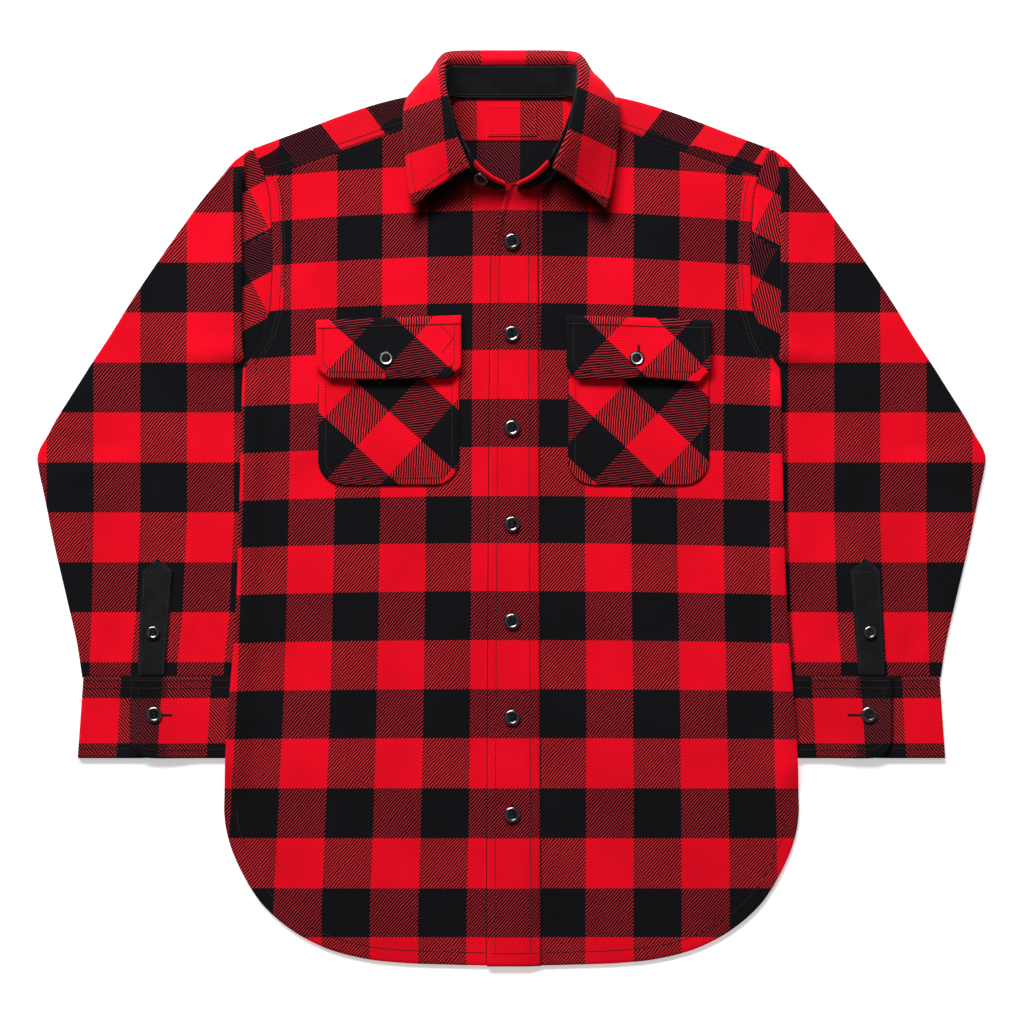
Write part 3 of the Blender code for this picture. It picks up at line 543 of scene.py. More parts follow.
def placePlacket(a, b):
    level = mix(body["hem"], body["neckTop"], b)
    free, seamX = placketEdges(level)
    x = mix(free, seamX - body["gap"], a)
    y = mix(level, topSeamY(x), ramp(level, 276, body["neckTop"]))
    out, look = x - free, placketRoll      # the free edge rolls up towards the neck
    roll = look["rise"] * ramp(out, 4.6, 2.4) - look["dip"] * math.exp(-((out - look["dipAt"]) / look["dipHalf"]) ** 2)
    z = frontZ(x, y) + placketHeight(x) + roll * ramp(level, look["start"], look["end"])
    return (x, y, z), (x, y), (-0.5, bodyCells(30, y)[1]), 0, underCollar(abs(x), y)


def makeBody():
    def rightFree(level):      # lies under the placket
        return -12.7

    def leftSeam(level):
        return placketEdges(min(level, body["neckTop"]))[1] + body["gap"]
    makeCloth("back_panel", (120, 150), placeBack, risingFlannel, body["cloth"], "back", "body_cloth")
    makeCloth("right_front", (84, 186), frontPlace(-1, rightFree), risingFlannel, body["cloth"],
              "front_right", "body_cloth")
    makeCloth("left_front", (76, 186), frontPlace(1, leftSeam), risingFlannel, body["cloth"],
              "front_left", "body_cloth")
    makeCloth("front_placket", (16, 190), placePlacket, risingFlannel, body["placket"], "placket",
              "body_cloth")
    print("body ready")


# The yoke, its facing and the label patch
yokeShape = dict(backSeam=276.0, neckHalf=60.5, corner=232.2, neckBack=384.7, rows=36, frontRows=8,
                 foldRows=12, facingHalf=70.0, facingTopHalf=58, facingBottom=345.5, facingRise=1.8,
                 insideBottom=288.0, insideHalf=60.0, insideRise=1.25, insideCloth=0.8,
                 label=(-22.5, 349.5, 24.0, 379.0), labelCloth=0.6)
yokeColumns = straight([(598, 1), (642, 2), (685, 3), (728.5, 4), (746.5, 5), (790, 6)])
yokeRow = straight([(640, 11), (662, 9), (684, 6.4), (688, 9.5), (733, 12), (750, 10.6)])
yokeChart = dict(lean=0.6, edge=0.25, rightFirst=386.7, rightPitch=45, backFirst=642, backPitch=44,
                 foldAt=26, backRow=46, redEnds=(639, 645), mixed=(642, 685, 728.5), rightRow=13, black=279,
                 blackEnd=(280.2, 146.7), blackSlope=0.575)
insideChart = dict(column=477, width=43, row=141, depth=44)


def crossing(distance):      # half a cell to either side of a line of the check
    return 2 + min(max(distance, -0.5), 0.5)


def yokeCells(x, y, down):      # columns run square to the shoulder; the row changes beside the seam
    look = yokeChart
    u, v = charted(x, y)
    above = (y - yokeSeam(max(abs(x), 56))) / chart["step"]
    behind = max(down - look["foldAt"], 0) / look["backRow"]      # rows past the fold
    if behind > 0:
        onRight = (look["rightFirst"] - u) / look["rightPitch"] + 1
        return onRight if x < 0 else (u - look["backFirst"]) / look["backPitch"] + 2, 1.06 + behind, 0.6
    if x > 0:
        q = u - look["lean"] * above
        row = crossing((yokeRow(q) - above) * look["edge"])
        low, high, last = look["mixed"]
        return yokeColumns(q), mix(1.5, row, ramp(q, *look["redEnds"])), 0.75 if low < q < high or q > last else 0
    column = (look["rightFirst"] - look["lean"] * above - u) / look["rightPitch"] + 1
    if column < 1:
        return column, crossing((look["rightRow"] - above) * look["edge"] - 0.5 * ramp(column, 0.8, 0.95)), 1
    if column < 2.3:
        return column, 1.5, 1 if column > 2 else 0
    if u > look["black"]:      # black beside the seam, cut off by the end of the yoke
        return max(2.5, 3 + (look["black"] - u) * 0.3), crossing((column - 3) * 3), 1
    endU, endV = look["blackEnd"]
    line = endV + (endU - u) * look["blackSlope"]
    return 3 + min((look["black"] - u) * 0.3, 0.5), crossing((v - line) * look["edge"]), 0.8 * ramp(v - line, -1, 1)


def placeYoke(a, b):      # a strip in front, over the shoulder's fold, and down the back
    side = 2 * a - 1
    outer = abs(side)
    neckHalf, rows = yokeShape["neckHalf"], yokeShape["rows"]
    frontRows, foldRows = yokeShape["frontRows"], yokeShape["foldRows"]
    inner = outer < 0.249      # behind the neck there is only the back
    if inner and round(b * rows) < foldRows:      # no piece of the grid is used here
        return None
    over = (outer - 0.25) / 0.75

    def widthAt(y):
        return neckHalf * outer / 0.25 if inner else mix(neckHalf, armhole(y) - 0.02, over)
    reach = neckHalf if inner else mix(neckHalf, 241.5, over)
    frontY = yokeSeam(min(reach, yokeShape["corner"])) + body["gap"]
    foldY = shoulder(max(reach, 56))
    radius = (frontZ(reach, foldY) - body["backHeight"]) / 2
    if b <= frontRows / rows:
        share = b * rows / frontRows
        y = mix(frontY, foldY - radius, share)
        z = mix(frontZ(widthAt(y), y), body["backHeight"] + 2 * radius, ramp(share, 0.2, 1))
        down = -(y - frontY)
    elif b < foldRows / rows:
        angle = math.pi * (b * rows - frontRows) / (foldRows - frontRows)
        y = foldY - radius + radius * math.sin(angle)
        z = body["backHeight"] + radius * (1 + math.cos(angle))
        down = radius * angle
    else:
        share = (b * rows - foldRows) / (rows - foldRows)
        top = mix(foldY - radius, yokeShape["neckBack"], 1 - ramp(reach, 52, 57)) if inner else foldY - radius
        y = mix(top, yokeShape["backSeam"] + body["gap"], share)
        z = body["backHeight"]
        down = 30 + (top - y)
    x = math.copysign(widthAt(y), side)
    run = y if z > body["backHeight"] + radius else 2 * foldY - y
    column, row, dusk = yokeCells(x, y if b < 0.34 else foldY, down)
    return (x, y, z), (x, run), (column, row), dusk


def insideCells(x, y):      # the check seen through the neck
    u, v = charted(x, y)
    look = insideChart
    return (u - look["column"]) / look["width"] + 1, (v - look["row"]) / look["depth"] + 2


def placeFacing(a, b):
    x = (2 * a - 1) * mix(yokeShape["facingHalf"], yokeShape["facingTopHalf"], ramp(b, 0.4, 1))
    y = mix(yokeShape["facingBottom"], yokeShape["neckBack"] + 5 * ramp(abs(x), 38, 56), b)
    return (x, y, body["backHeight"] + yokeShape["facingRise"]), (x, y), insideCells(x, y)


def placeInside(a, b):      # the lining of the yoke below its facing, seen through the neck
    y = mix(yokeShape["insideBottom"], yokeShape["facingBottom"] - body["seam"], b)
    x = (2 * a - 1) * yokeShape["insideHalf"]
    return (x, y, body["backHeight"] + yokeShape["insideRise"]), (x, y), insideCells(x, y), 0.7


def placeLabel(a, b):
    lowX, lowY, highX, highY = yokeShape["label"]
    x, y = mix(lowX, highX, a), mix(lowY, highY, b)
    rise = yokeShape["facingRise"] + body["cloth"] / 2 + 0.38 + 0.12 * ramp(min(a, 1 - a, b, 1 - b), 0, 0.1)
    return (x, y, body["backHeight"] + rise), (x, y), insideCells(x, y)


def makeYoke():
    makeCloth("yoke_cloth", (128, yokeShape["rows"]), placeYoke, yokeFlannel, body["cloth"], "yoke", "body_cloth")
    makeCloth("inside_facing", (50, 18), placeFacing, fallingFlannel, body["cloth"], "yoke_facing", "body_cloth")
    makeCloth("inside_yoke", (40, 18), placeInside, fallingFlannel, yokeShape["insideCloth"], None, "body_cloth")
    makeCloth("label_patch", (66, 44), placeLabel, fallingFlannel, yokeShape["labelCloth"], "neck_label",
              "label_cloth")
    print("yoke ready")


makeBody()
makeYoke()


# Sleeves
sleeve = dict(bottom=-158.6, top=336.8, folds=1.35, tuckEdge=253.4, tuckRun=3.1, tuckRadius=1.25, tuckEase=4.0,
              tuckRoom=26, leastRun=0.6, under=8.0)
sleeveSteps = dict(toTuck=4, tuck=6, top=44, fold=8, below=22)      # points along one section
tuckEnd = sleeveSteps["toTuck"] + 2 * (sleeveSteps["tuck"] + 1)     # the first point of the top layer past the tuck
sleeveSections = smooth([      # y, outer half width, turn of the tuck, height of the top layer
    (-158.6, 402.8, 0.0, 3.1), (-128.0, 407.4, 0.0, 3.3), (-86.0, 416.9, 0.0, 3.5), (-29.6, 430.0, 0.0, 3.4),
    (18.0, 439.6, 0.0, 3.8), (38.0, 443.8, 0.0, 4.1), (48.0, 444.9, 0.0, 4.3), (55.0, 443.0, 0.0, 4.4),
    (67.0, 436.0, 0.0, 4.4), (83.2, 427.2, 0.0, 4.2), (102.0, 415.4, 0.0, 3.9), (118.0, 405.3, 0.0, 3.9),
    (130.6, 397.4, 0.06, 4.0), (139.6, 391.5, 0.4, 4.2), (148.5, 385.6, 0.75, 4.3), (158.4, 379.0, 0.95, 4.4),
    (188.5, 360.4, 1.0, 4.1), (224.0, 337.0, 1.0, 3.9), (248.0, 320.3, 1.0, 4.0), (270.0, 304.5, 1.0, 3.8),
    (281.0, 296.6, 1.0, 3.8), (292.8, 287.6, 0.95, 3.6), (303.0, 279.2, 0.8, 3.3), (313.5, 270.4, 0.5, 3.0),
    (327.0, 258.8, 0.1, 2.7), (332.6, 251.4, 0.0, 2.5), (336.8, 245.8, 0.0, 2.2)])
sleeveCreases = (      # half width and y of the middle, length, width, turn in degrees, height
    (335, 190, 150, 12, 52, -0.8), (300, 150, 110, 10, 40, 0.7), (385, 110, 130, 12, 66, 0.6),
    (400, 62, 90, 9, 8, -0.9), (392, 38, 100, 9, -12, 0.8), (405, 20, 80, 8, -30, -0.7),
    (350, 70, 170, 16, 78, -0.6), (310, 40, 160, 14, 84, 0.7), (375, -20, 140, 13, 98, -0.6),
    (300, -60, 150, 12, 96, 0.6), (300, -130, 60, 9, 90, -0.7), (372, -128, 55, 8, 82, -0.7),
    (388, -132, 50, 7, 78, 0.6), (286, 240, 120, 9, 70, -0.5), (285, -10, 170, 12, 88, -0.6))


def sleeveInner(y):
    if y >= 130:
        return armhole(max(y, body["armpit"])) + 0.02
    return bodyWidth(y) + 0.02 - sleeve["under"] * ramp(-y, -104, -50)


def sleevePath(y):      # one section: cap or underarm, tuck, top layer, outer fold, lower layer
    outer, turned, height = sleeveSections(y)
    turned = min(max(turned, 0.0), 1.0)
    start = sleeveInner(y)
    startZ = frontZ(start, y) if y > body["armpit"] else body["frontHeight"]
    rim = outer - height / 2
    room = min(1.0, (rim - start) / sleeve["tuckRoom"])
    ease = sleeve["tuckEase"] * (1 - turned) * room
    run = sleeve["tuckRun"] * room
    radius, least = sleeve["tuckRadius"], sleeve["leastRun"]
    bend = math.pi * turned
    length = 2 * ease + 2 * radius * math.sin(bend) + run * math.cos(bend)
    foot = max(min(sleeve["tuckEdge"] + radius, rim - least) - length, start + least)
    footZ = startZ + 0.1
    head = foot + length
    headZ = footZ + radius * 2 * (1 - math.cos(bend)) + run * math.sin(bend)
    backZ = body["backHeight"]
    count = sleeveSteps["toTuck"]
    path = [(mix(start, foot, step / count), mix(startZ, footZ, step / count)) for step in range(count)]
    shares = [step / sleeveSteps["tuck"] for step in range(sleeveSteps["tuck"] + 1)]
    for share in shares:
        turn = bend * share
        path.append((foot + ease * share + radius * math.sin(turn), footZ + radius * (1 - math.cos(turn))))
    for share in reversed(shares):
        turn = bend * share
        path.append((head - ease * share - radius * math.sin(turn), headZ - radius * (1 - math.cos(turn))))
    for step in range(1, sleeveSteps["top"] + 1):
        share = step / sleeveSteps["top"]
        w = mix(head, rim, share)
        z = mix(headZ, backZ + height, ramp(share, 0, 0.5))
        clear = ramp(w - bodyWidth(min(y, body["armpit"])), 8, 30) * ramp(rim - w, 0, 18) * ramp(y, -154, -138)
        if y < -36:      # flat under the gauntlet
            clear *= ramp(abs(w - 335), 20, 34)
        path.append((w, z + sleeve["folds"] * creased(w, y, sleeveCreases) * clear))
    for step in range(1, sleeveSteps["fold"] + 1):
        turn = math.pi * step / sleeveSteps["fold"]
        path.append((rim + height / 2 * math.sin(turn), backZ + height / 2 * (1 + math.cos(turn))))
    for step in range(1, sleeveSteps["below"] + 1):
        path.append((mix(rim, start, step / sleeveSteps["below"]), backZ))
    return path, turned


sleeveRows = {}


def sleeveRow(y):      # a section with the place of each of its points along the cloth
    key = round(y, 3)
    if key not in sleeveRows:
        path, turned = sleevePath(y)
        runs = [0.0]
        for (w1, z1), (w2, z2) in zip(path, path[1:]):
            runs.append(runs[-1] + math.hypot(w2 - w1, z2 - z1))
        anchor = tuckEnd + sleeveSteps["top"] // 2      # here the run is the half width
        sleeveRows[key] = (path, turned, [path[anchor][0] + run - runs[anchor] for run in runs])
    return sleeveRows[key]


sleeveChart = {      # first column, pitch, where the drift eases near the outer fold, drift of the lower columns
    -1: (94, 46.7, (90, 140), straight([(520, 0.0), (617, -4.8), (665, -10.0)])),
    1: (788, 46.0, (934, 884), straight([(520, 0.0), (617, 3.0), (665, 7.0)]))}
sleeveHead = dict(end=165, half=270, row=213, depth=49.9)      # the head of the sleeve is red
capChart = dict(turn=28, middleX=248.9, middleY={-1: 189.8, 1: 192.9}, pitch=(41, 44), lower=(60, 39), lowerFrom=47,
                lowerEdge={-1: 41, 1: 29})


def sleeveCells(side, run, y):
    u, v = charted(side * run, y)
    if v < sleeveHead["end"] and abs(run) < sleeveHead["half"]:
        return 3.5, -0.5
    first, pitch, nearFold, drift = sleeveChart[side]
    column = (u - first - drift(v) * mix(0.4, 1, ramp(u, *nearFold))) / pitch + 1
    return column, (v - sleeveHead["row"]) / sleeveHead["depth"] + 1


def capCells(side, w, y):      # the strip beside the armhole, whose check is turned
    u, v = charted(-w, y)
    across, along = rotated(u - capChart["middleX"], v - capChart["middleY"][side], -capChart["turn"])
    thread = side * across * chart["step"], -along * chart["step"]
    width, depth = capChart["pitch"]
    if along < capChart["lowerFrom"]:
        return thread, (across / width + 1, along / depth + 1), 0
    lowerWidth, lowerDepth = capChart["lower"]      # further down the columns are set over
    cells = (across + capChart["lowerEdge"][side]) / lowerWidth + 1, (along - depth) / lowerDepth + 2
    return thread, cells, 1 - ramp(along, 80, 84)


def sleevePlace(side):
    def place(a, b):
        y = mix(sleeve["bottom"], sleeve["top"], b)
        path, turned, runs = sleeveRow(y)
        index = round(a * (len(path) - 1))
        w, z = path[index]
        if index < 12 and (turned > 0.3 or y > 300):
            thread, cells, dusk = capCells(side, w, y)
        else:
            thread, cells, dusk = (side * runs[index], y), sleeveCells(side, runs[index], y), 0
        return (side * w, y, z), thread, cells, dusk
    return place


def heightOn(path, w):      # between the two points of a section that lie on either side
    for (w1, z1), (w2, z2) in zip(path, path[1:]):
        if w1 <= w <= w2:
            return mix(z1, z2, (w - w1) / max(w2 - w1, 0.001))
    return path[-1][1]


def sleeveTop(w, y):      # middle of the sleeve's upper layer
    return heightOn(sleeveRow(y)[0][tuckEnd - 1:tuckEnd + sleeveSteps["top"]], w)


# Cuffs
cuff = dict(top=-157.6, bottom=-234.5, lapEnd=356.7, underEnd=322.0, layer=2.8, corner=19.0, lapPoints=26,
            slope=(326, 292), lapStep=2.0, lift=0.9)
cuffOuter = straight([(-234.5, 406.6), (-157.6, 401.2)])
cuffInner = straight([(-234.5, 260.4), (-157.6, 256.4)])
cuffColumns = straight([(30, 0), (75, 1), (121, 2), (162, 3), (211, 4), (257, 5), (303, 6)])
cuffLines = straight([(653, 0), (698, 1), (743, 2), (788, 3)])


def halfTurn(count):      # sine and cosine from the top of a fold to its foot
    return [(math.sin(math.pi * step / count), math.cos(math.pi * step / count)) for step in range(count + 1)]


def cuffPath(y):      # from the end on top, round the inner fold and the outer fold, to the end below
    outer, inner = cuffOuter(y), cuffInner(y)
    low = body["double"] / 2
    middle = low + cuff["layer"]
    top = middle + cuff["layer"]
    radius = cuff["layer"] / 2
    lap, under = cuff["lapEnd"], cuff["underEnd"] + 14
    high, foot = cuff["slope"]
    path = [(lap - step * cuff["lapStep"], top) for step in range(8)]
    path += [(w, top) for w in (338, 332, high)]
    path += [(mix(high, foot, step / 8), mix(top, middle + 0.2, ramp(step / 8, 0, 1))) for step in range(1, 9)]
    path += [(mix(foot, inner + 2, step / 7), mix(middle + 0.2, middle, step / 7)) for step in range(1, 8)]
    path += [(inner + radius - radius * s, low + radius + radius * c) for s, c in halfTurn(8)[1:]]
    path += [(mix(inner + radius, outer - radius, step / 20), low) for step in range(1, 20)]
    path += [(outer - radius + radius * s, low + radius + radius * c) for s, c in reversed(halfTurn(8))]
    path += [(mix(outer - radius, under, step / 12), middle) for step in range(1, 12)]
    path += [(under - step * 2, middle) for step in range(8)]
    return path


def lapLift(index):      # the end on top lifts a little
    return cuff["lift"] * max(1 - index / 10, 0)


def cornered(half, corner, low, y):      # half width with a rounded lower corner
    rise = corner - min(y - low, corner)
    return half - corner + math.sqrt(max(corner * corner - rise * rise, 0))


def cuffPlace(side):
    last = len(cuffPath(cuff["bottom"])) - 1

    def place(a, b):
        index = round(a * last)
        fromEnd = min(index, last - index) * cuff["lapStep"]
        raised = -cornered(0, cuff["corner"], 0, fromEnd)      # the lower corners of both ends are rounded
        y = mix(cuff["bottom"] + raised, cuff["top"] - 0.3, b)
        w, z = cuffPath(y)[index]
        if index < cuff["lapPoints"]:
            z += 0.25 * math.sin(y / 9 + w / 31) * ramp(b, 0, 0.2) * ramp(1 - b, 0, 0.2) * ramp(index, 3, 10)
        u, v = charted(-w, y)
        cells = cuffColumns(u + 0.06 * (v - 690)), cuffLines(v)
        dusk = 0.85 if index < 18 and w > 322 else 0
        return (side * w, y, z + lapLift(index)), (side * w, y), cells, dusk
    return place, last


# Gauntlets: the plain strips above the cuffs
gauntlet = dict(bottom=-156.9, shoulder=-58.5, tip=-47.5, split=0.8, rise=1.5)
gauntletInner = straight([(-156.9, 325.7), (-110.0, 322.0), (-58.5, 318.2), (-47.5, 331.6)])
gauntletOuter = straight([(-156.9, 351.0), (-110.0, 349.0), (-58.5, 346.4), (-47.5, 332.8)])


def gauntletPlace(side):
    bottom, shoulderY, tip, split = [gauntlet[key] for key in ("bottom", "shoulder", "tip", "split")]

    def place(a, b):
        y = mix(bottom, shoulderY, b / split) if b < split else mix(shoulderY, tip, (b - split) / (1 - split))
        w = mix(gauntletInner(y), gauntletOuter(y), a)
        z = sleeveTop(w, y) + gauntlet["rise"] + body["lap"] + 0.12 * math.sin(y / 6.5 + w / 14)
        return (side * w, y, z), (side * w, y), (0.5, 0.5)
    return place


def makeSleeves():
    points = len(sleevePath(0)[0]) - 1
    for side, label in sides:
        makeCloth(label + "_sleeve", (points, 150), sleevePlace(side), risingFlannel, body["cloth"],
                  "sleeve_" + label, "sleeve_cloth")
        onCuff, cuffPoints = cuffPlace(side)
        makeCloth(label + "_cuff", (cuffPoints, 26), onCuff, fallingFlannel, body["double"],
                  "cuff_" + label, "cuff_cloth")
        makeCloth(label + "_gauntlet", (10, 40), gauntletPlace(side), blackCotton, body["cloth"],
                  "gauntlet_" + label, "trim_cloth")
    print("sleeves and cuffs ready")


# Chest pockets and flaps
pocket = dict(x={-1: 115.2, 1: 119.4}, half=65.8, top=166.0, bottom=22.0, corner=23.5, swell=0.35)
flap = dict(half=68.0, top=178.6, bottom=121.5, corner=11.0, tilt=0.034, puff=4.4, sag=2.6, droop=1.1,
            rowEdge=0.97)
biasSpots = {      # middle of a diamond in the chart, half its diagonal, 1 for a red one, slant, dusk
    ("pocket", -1): (389.0, 443.4, 32.0, 1, 0.10, 0.35), ("pocket", 1): (657.6, 445.3, 32.0, 1, 0.06, 0.45),
    ("flap", -1): (385.0, 340.3, 31.0, 0, 0.09, 0.6), ("flap", 1): (640.8, 338.8, 34.0, 1, 0.02, 0.25)}


def biasCells(spot, x, y):      # the check turned by 45 degrees
    u, v = charted(x, y)
    middleU, middleV, half, red, slant = spot[:5]
    fallen = v - middleV + slant * (u - middleU)
    across, along = u - middleU + fallen, fallen - (u - middleU)
    thread = across * chart["step"] / 1.414, along * chart["step"] / 1.414
    return thread, (across / 2 / half + 0.5 + red, along / 2 / half + 0.5 + red)


def duskIn(spot, row):      # the twill with more black than red on show
    return spot[5] if math.floor(row) % 2 == 0 else 0


def pocketZ(x, y):
    return frontZ(x, y) + body["cloth"] + body["lap"]


def pocketSwell(x, y):
    return pocket["swell"] * math.sin(x / 17 + y / 23) * math.sin(y / 31)


def flapZ(x, y):      # flat at its seam, and lifted by the pocket below
    middle = pocket["x"][1 if x > 0 else -1]
    below = flap["top"] + flap["tilt"] * (middle - abs(x)) - y
    onFront = frontZ(x, y) + 0.75 + 0.8 + 1.2
    onPocket = onFront + body["cloth"] + body["lap"]
    puff = flap["puff"] * ramp(below, 12, 58) * (0.75 + 0.25 * math.cos((abs(x) - middle) / 24))
    return mix(onFront, onPocket, ramp(below, 0.4, 4.2)) + puff


def pocketPlace(side):
    def place(a, b):
        y = mix(pocket["bottom"], pocket["top"], b ** 1.25)
        half = cornered(pocket["half"], pocket["corner"], pocket["bottom"], y)
        x = side * pocket["x"][side] + half * (2 * a - 1)
        z = pocketZ(x, y) + pocketSwell(x, y) * ramp(b, 0.05, 0.3)
        spot = biasSpots["pocket", side]
        thread, cells = biasCells(spot, x, y)
        return (x, y, z), thread, cells, duskIn(spot, cells[1])
    return place


def flapPlace(side):
    spot, edge = biasSpots["flap", side], flap["rowEdge"]

    def place(a, b):
        level = mix(flap["bottom"], flap["top"], b ** 1.2)
        rise = flap["corner"] - min(level - flap["bottom"], flap["corner"])
        x = side * pocket["x"][side] + (flap["half"] - rise) * (2 * a - 1)
        y = level + flap["tilt"] * (pocket["x"][side] - abs(x)) * ramp(level, flap["bottom"], flap["top"])
        droop = flap["droop"] * math.sin(x / 19.0 + side) * (1 - b) ** 3
        thread, (column, row) = biasCells(spot, x, y)
        if side > 0:
            y -= flap["sag"] * ramp(a, 0.55, 0.97) * (1 - b) ** 2
            if column > 2:      # the cloth is drawn in towards this corner
                column = 2 + (column - 2) * 1.3
        elif row < 0:      # the two upper corners and the lower one are each of one kind of cell
            column, row = min(column, 1 + edge), max(row, -edge if column > 1 else row)
        elif row > 1 and column > 1:
            column, row = (column, edge) if column > row else (edge, row)
        return (x, y + droop * 0.6, flapZ(x, y) + 0.25 * droop), thread, (column, row), duskIn(spot, row)
    return place


def makePockets():
    for side, label in sides:
        makeCloth(label + "_pocket", (40, 44), pocketPlace(side), biasFlannel, body["cloth"],
                  "pocket_" + label, "pocket_cloth")
        makeCloth(label + "_flap", (44, 22), flapPlace(side), biasFlannel, body["double"],
                  "flap_" + label, "pocket_cloth")
    print("pockets ready")


makeSleeves()
makePockets()


# Collar: the turned-down leaf and its stand
collar = dict(steps=7, leafSteps=26, leafEnd=9, standSteps=8, standEnd=11, standPerStation=6, lean=2620.0, turnsAt=2.7,
              turnX=58.0, leftPull=3.2, lowest=1.2, standHeight=34, standRun=21)
leafRows = smoothRows([      # seam on the stand, crest, outermost, lower and edge points, from the back to the front
    (0, 417.3, 12.6, 0, 424.0, 14.6, 0, 430.0, 8.4, 0, 421.5, 1.35, 0, 390.0, 1.2),
    (30, 417.3, 12.6, 30, 424.0, 14.6, 30, 430.0, 8.4, 30, 421.5, 1.35, 30, 390.0, 1.2),
    (54, 417.6, 15.4, 55, 424.4, 17.6, 58, 429.0, 9.4, 56, 421.0, 1.35, 54, 393.0, 1.2),
    (61.0, 416.4, 20.2, 62.5, 421.2, 23.2, 67.5, 423.4, 11.0, 66, 416.8, 1.4, 63, 400.5, 1.2),
    (62.9, 409.0, 25.9, 66, 413.0, 29.4, 75, 411.2, 13.0, 76.5, 406.0, 2.6, 76, 399.0, 1.2),
    (61.9, 394.8, 30.5, 65.6, 397.0, 34.6, 85, 397.5, 20.0, 92.5, 392.0, 9.8, 95.5, 389.0, 5.4),
    (58.1, 377.0, 34.1, 61.6, 377.8, 38.2, 80, 376.0, 30.0, 94, 372.5, 17.5, 101.4, 370.0, 11.0),
    (53.6, 356.0, 36.1, 57.0, 356.3, 39.6, 74, 352.0, 32.0, 90, 346.5, 20.0, 99.8, 343.0, 12.2),
    (46.6, 338.0, 36.4, 50.0, 337.2, 39.4, 68, 327.0, 30.0, 85, 316.5, 20.0, 97.6, 309.0, 13.2),
    (39.4, 320.8, 35.1, 42.4, 319.4, 37.6, 58.5, 310.0, 29.0, 76, 297.4, 20.5, 92.8, 284.2, 14.2)])
standRows = smoothRows([      # base and top of the stand, from the back to the front
    (0, 385.4, 3.7, 0, 417.0, 12.5), (30, 385.4, 3.7, 30, 417.0, 12.5),
    (50, 386.0, 4.6, 54, 417.3, 15.2), (57.5, 387.0, 10.4, 61.0, 415.4, 19.4),
    (61.5, 383.0, 13.0, 63.2, 407.0, 25.4), (62.0, 372.0, 13.0, 61.5, 394.0, 29.5),
    (55.6, 356.0, 12.6, 57.4, 376.5, 33.0), (47.2, 346.0, 12.8, 50.2, 355.5, 35.0),
    (39.6, 334.0, 13.2, 42.4, 338.0, 35.3), (36.8, 314.0, 13.6, 33.6, 326.4, 34.0),
    (21.0, 303.2, 14.6, 20.4, 314.2, 32.0), (5.6, 300.6, 15.6, 5.4, 306.0, 27.5)])
leafColumnsLeft = straight([(400, 1), (444, 2), (481, 3), (526, 4), (568, 5), (612, 6)])
leafColumnsRight = straight([(481, 3), (526, 4), (545, 4.3), (586, 5), (630, 6)])
leafLinesLeft = straight([(68, 1), (112.7, 2), (157, 3), (197, 4), (240, 5)])
leafLinesRight = straight([(62, 1), (106, 2), (151, 3), (198, 4), (240, 5)])
leafLinesBack = straight([(16, 1), (70, 2), (115, 3)])


def drawnIn(x, y, z):      # what stands high leans in a little towards the middle of the shirt
    share = 1 - z / collar["lean"]
    return x * share, y * share, z


def leafPoint(station, share):      # from the seam on the stand, over the crest, to the edge
    values = leafRows(station)
    points = smoothRows([tuple(values[index:index + 3]) for index in range(0, 15, 3)])
    x, y, z = points(share * 4)
    wave = 0.5 * math.sin(station * 2.3) * ramp(share, 0.5, 1) * ramp(station, 4, 6)
    dimple = -0.7 * math.exp(-((station - 7.4) / 0.7) ** 2 - ((share - 0.62) / 0.16) ** 2)
    return drawnIn(x, y, max(z + wave + dimple, collar["lowest"]))


leafLean = {-1: (-0.10, 120, 0.27, 405), 1: (0.12, 100, -0.36, 613)}      # of columns and lines, and from where


def leafCells(x, y, atBack):
    u, v = charted(x, y)
    if atBack:
        return leafColumnsLeft(u), leafLinesBack(v)
    columnLean, fromV, lineLean, fromU = leafLean[-1 if x < 0 else 1]
    u, v = u + columnLean * (v - fromV), v + lineLean * (u - fromU)
    return (leafColumnsLeft(u), leafLinesLeft(v)) if x < 0 else (leafColumnsRight(u), leafLinesRight(v))


def placeLeaf(a, b):
    along = (2 * a - 1) * collar["leafEnd"]
    side, station = math.copysign(1, along), abs(along)
    x, y, z = leafPoint(station, b)
    cells = leafCells(side * x, y, ramp(station, 2.2, 3.2) < 0.5)
    threadX = side * (x - 2 * collar["turnX"]) if station > collar["turnsAt"] else -side * x
    if side > 0:      # the left point hangs a little lower and further in
        x -= collar["leftPull"] * ramp(station, 6.5, collar["leafEnd"]) * b
        y -= collar["leftPull"] * ramp(station, 7.0, collar["leafEnd"]) * b
    return (side * x, y, z), (threadX, y), cells


def standPoint(station, share):
    x1, y1, z1, x2, y2, z2 = standRows(station)
    ease = math.sin(math.pi * share)
    ripple = ease * 0.35 * (math.sin(x1 / 5.2 + 1.3) * math.sin(x1 / 13.0) + 0.5 * math.sin(x1 / 3.1 + share * 3))
    flat = 1 - ramp(station, 1.5, 3)
    y = mix(y1, y2, share) - ripple * 0.3 * flat
    return drawnIn(mix(x1, x2, share), y, mix(z1, z2, share) + ripple * flat)


def placeStand(a, b):
    along = (2 * a - 1) * collar["standEnd"]
    side, station = math.copysign(1, along), abs(along)
    x, y, z = standPoint(station, b)
    redRim = ramp(b, 0.66, 0.80) * ramp(34.8 - x, 0, 1.2) if station >= 7.5 else 0
    run = side * station * collar["standRun"]
    return (side * x, y, z), (run, b * collar["standHeight"]), (0.5 + redRim, 0.5 + redRim)


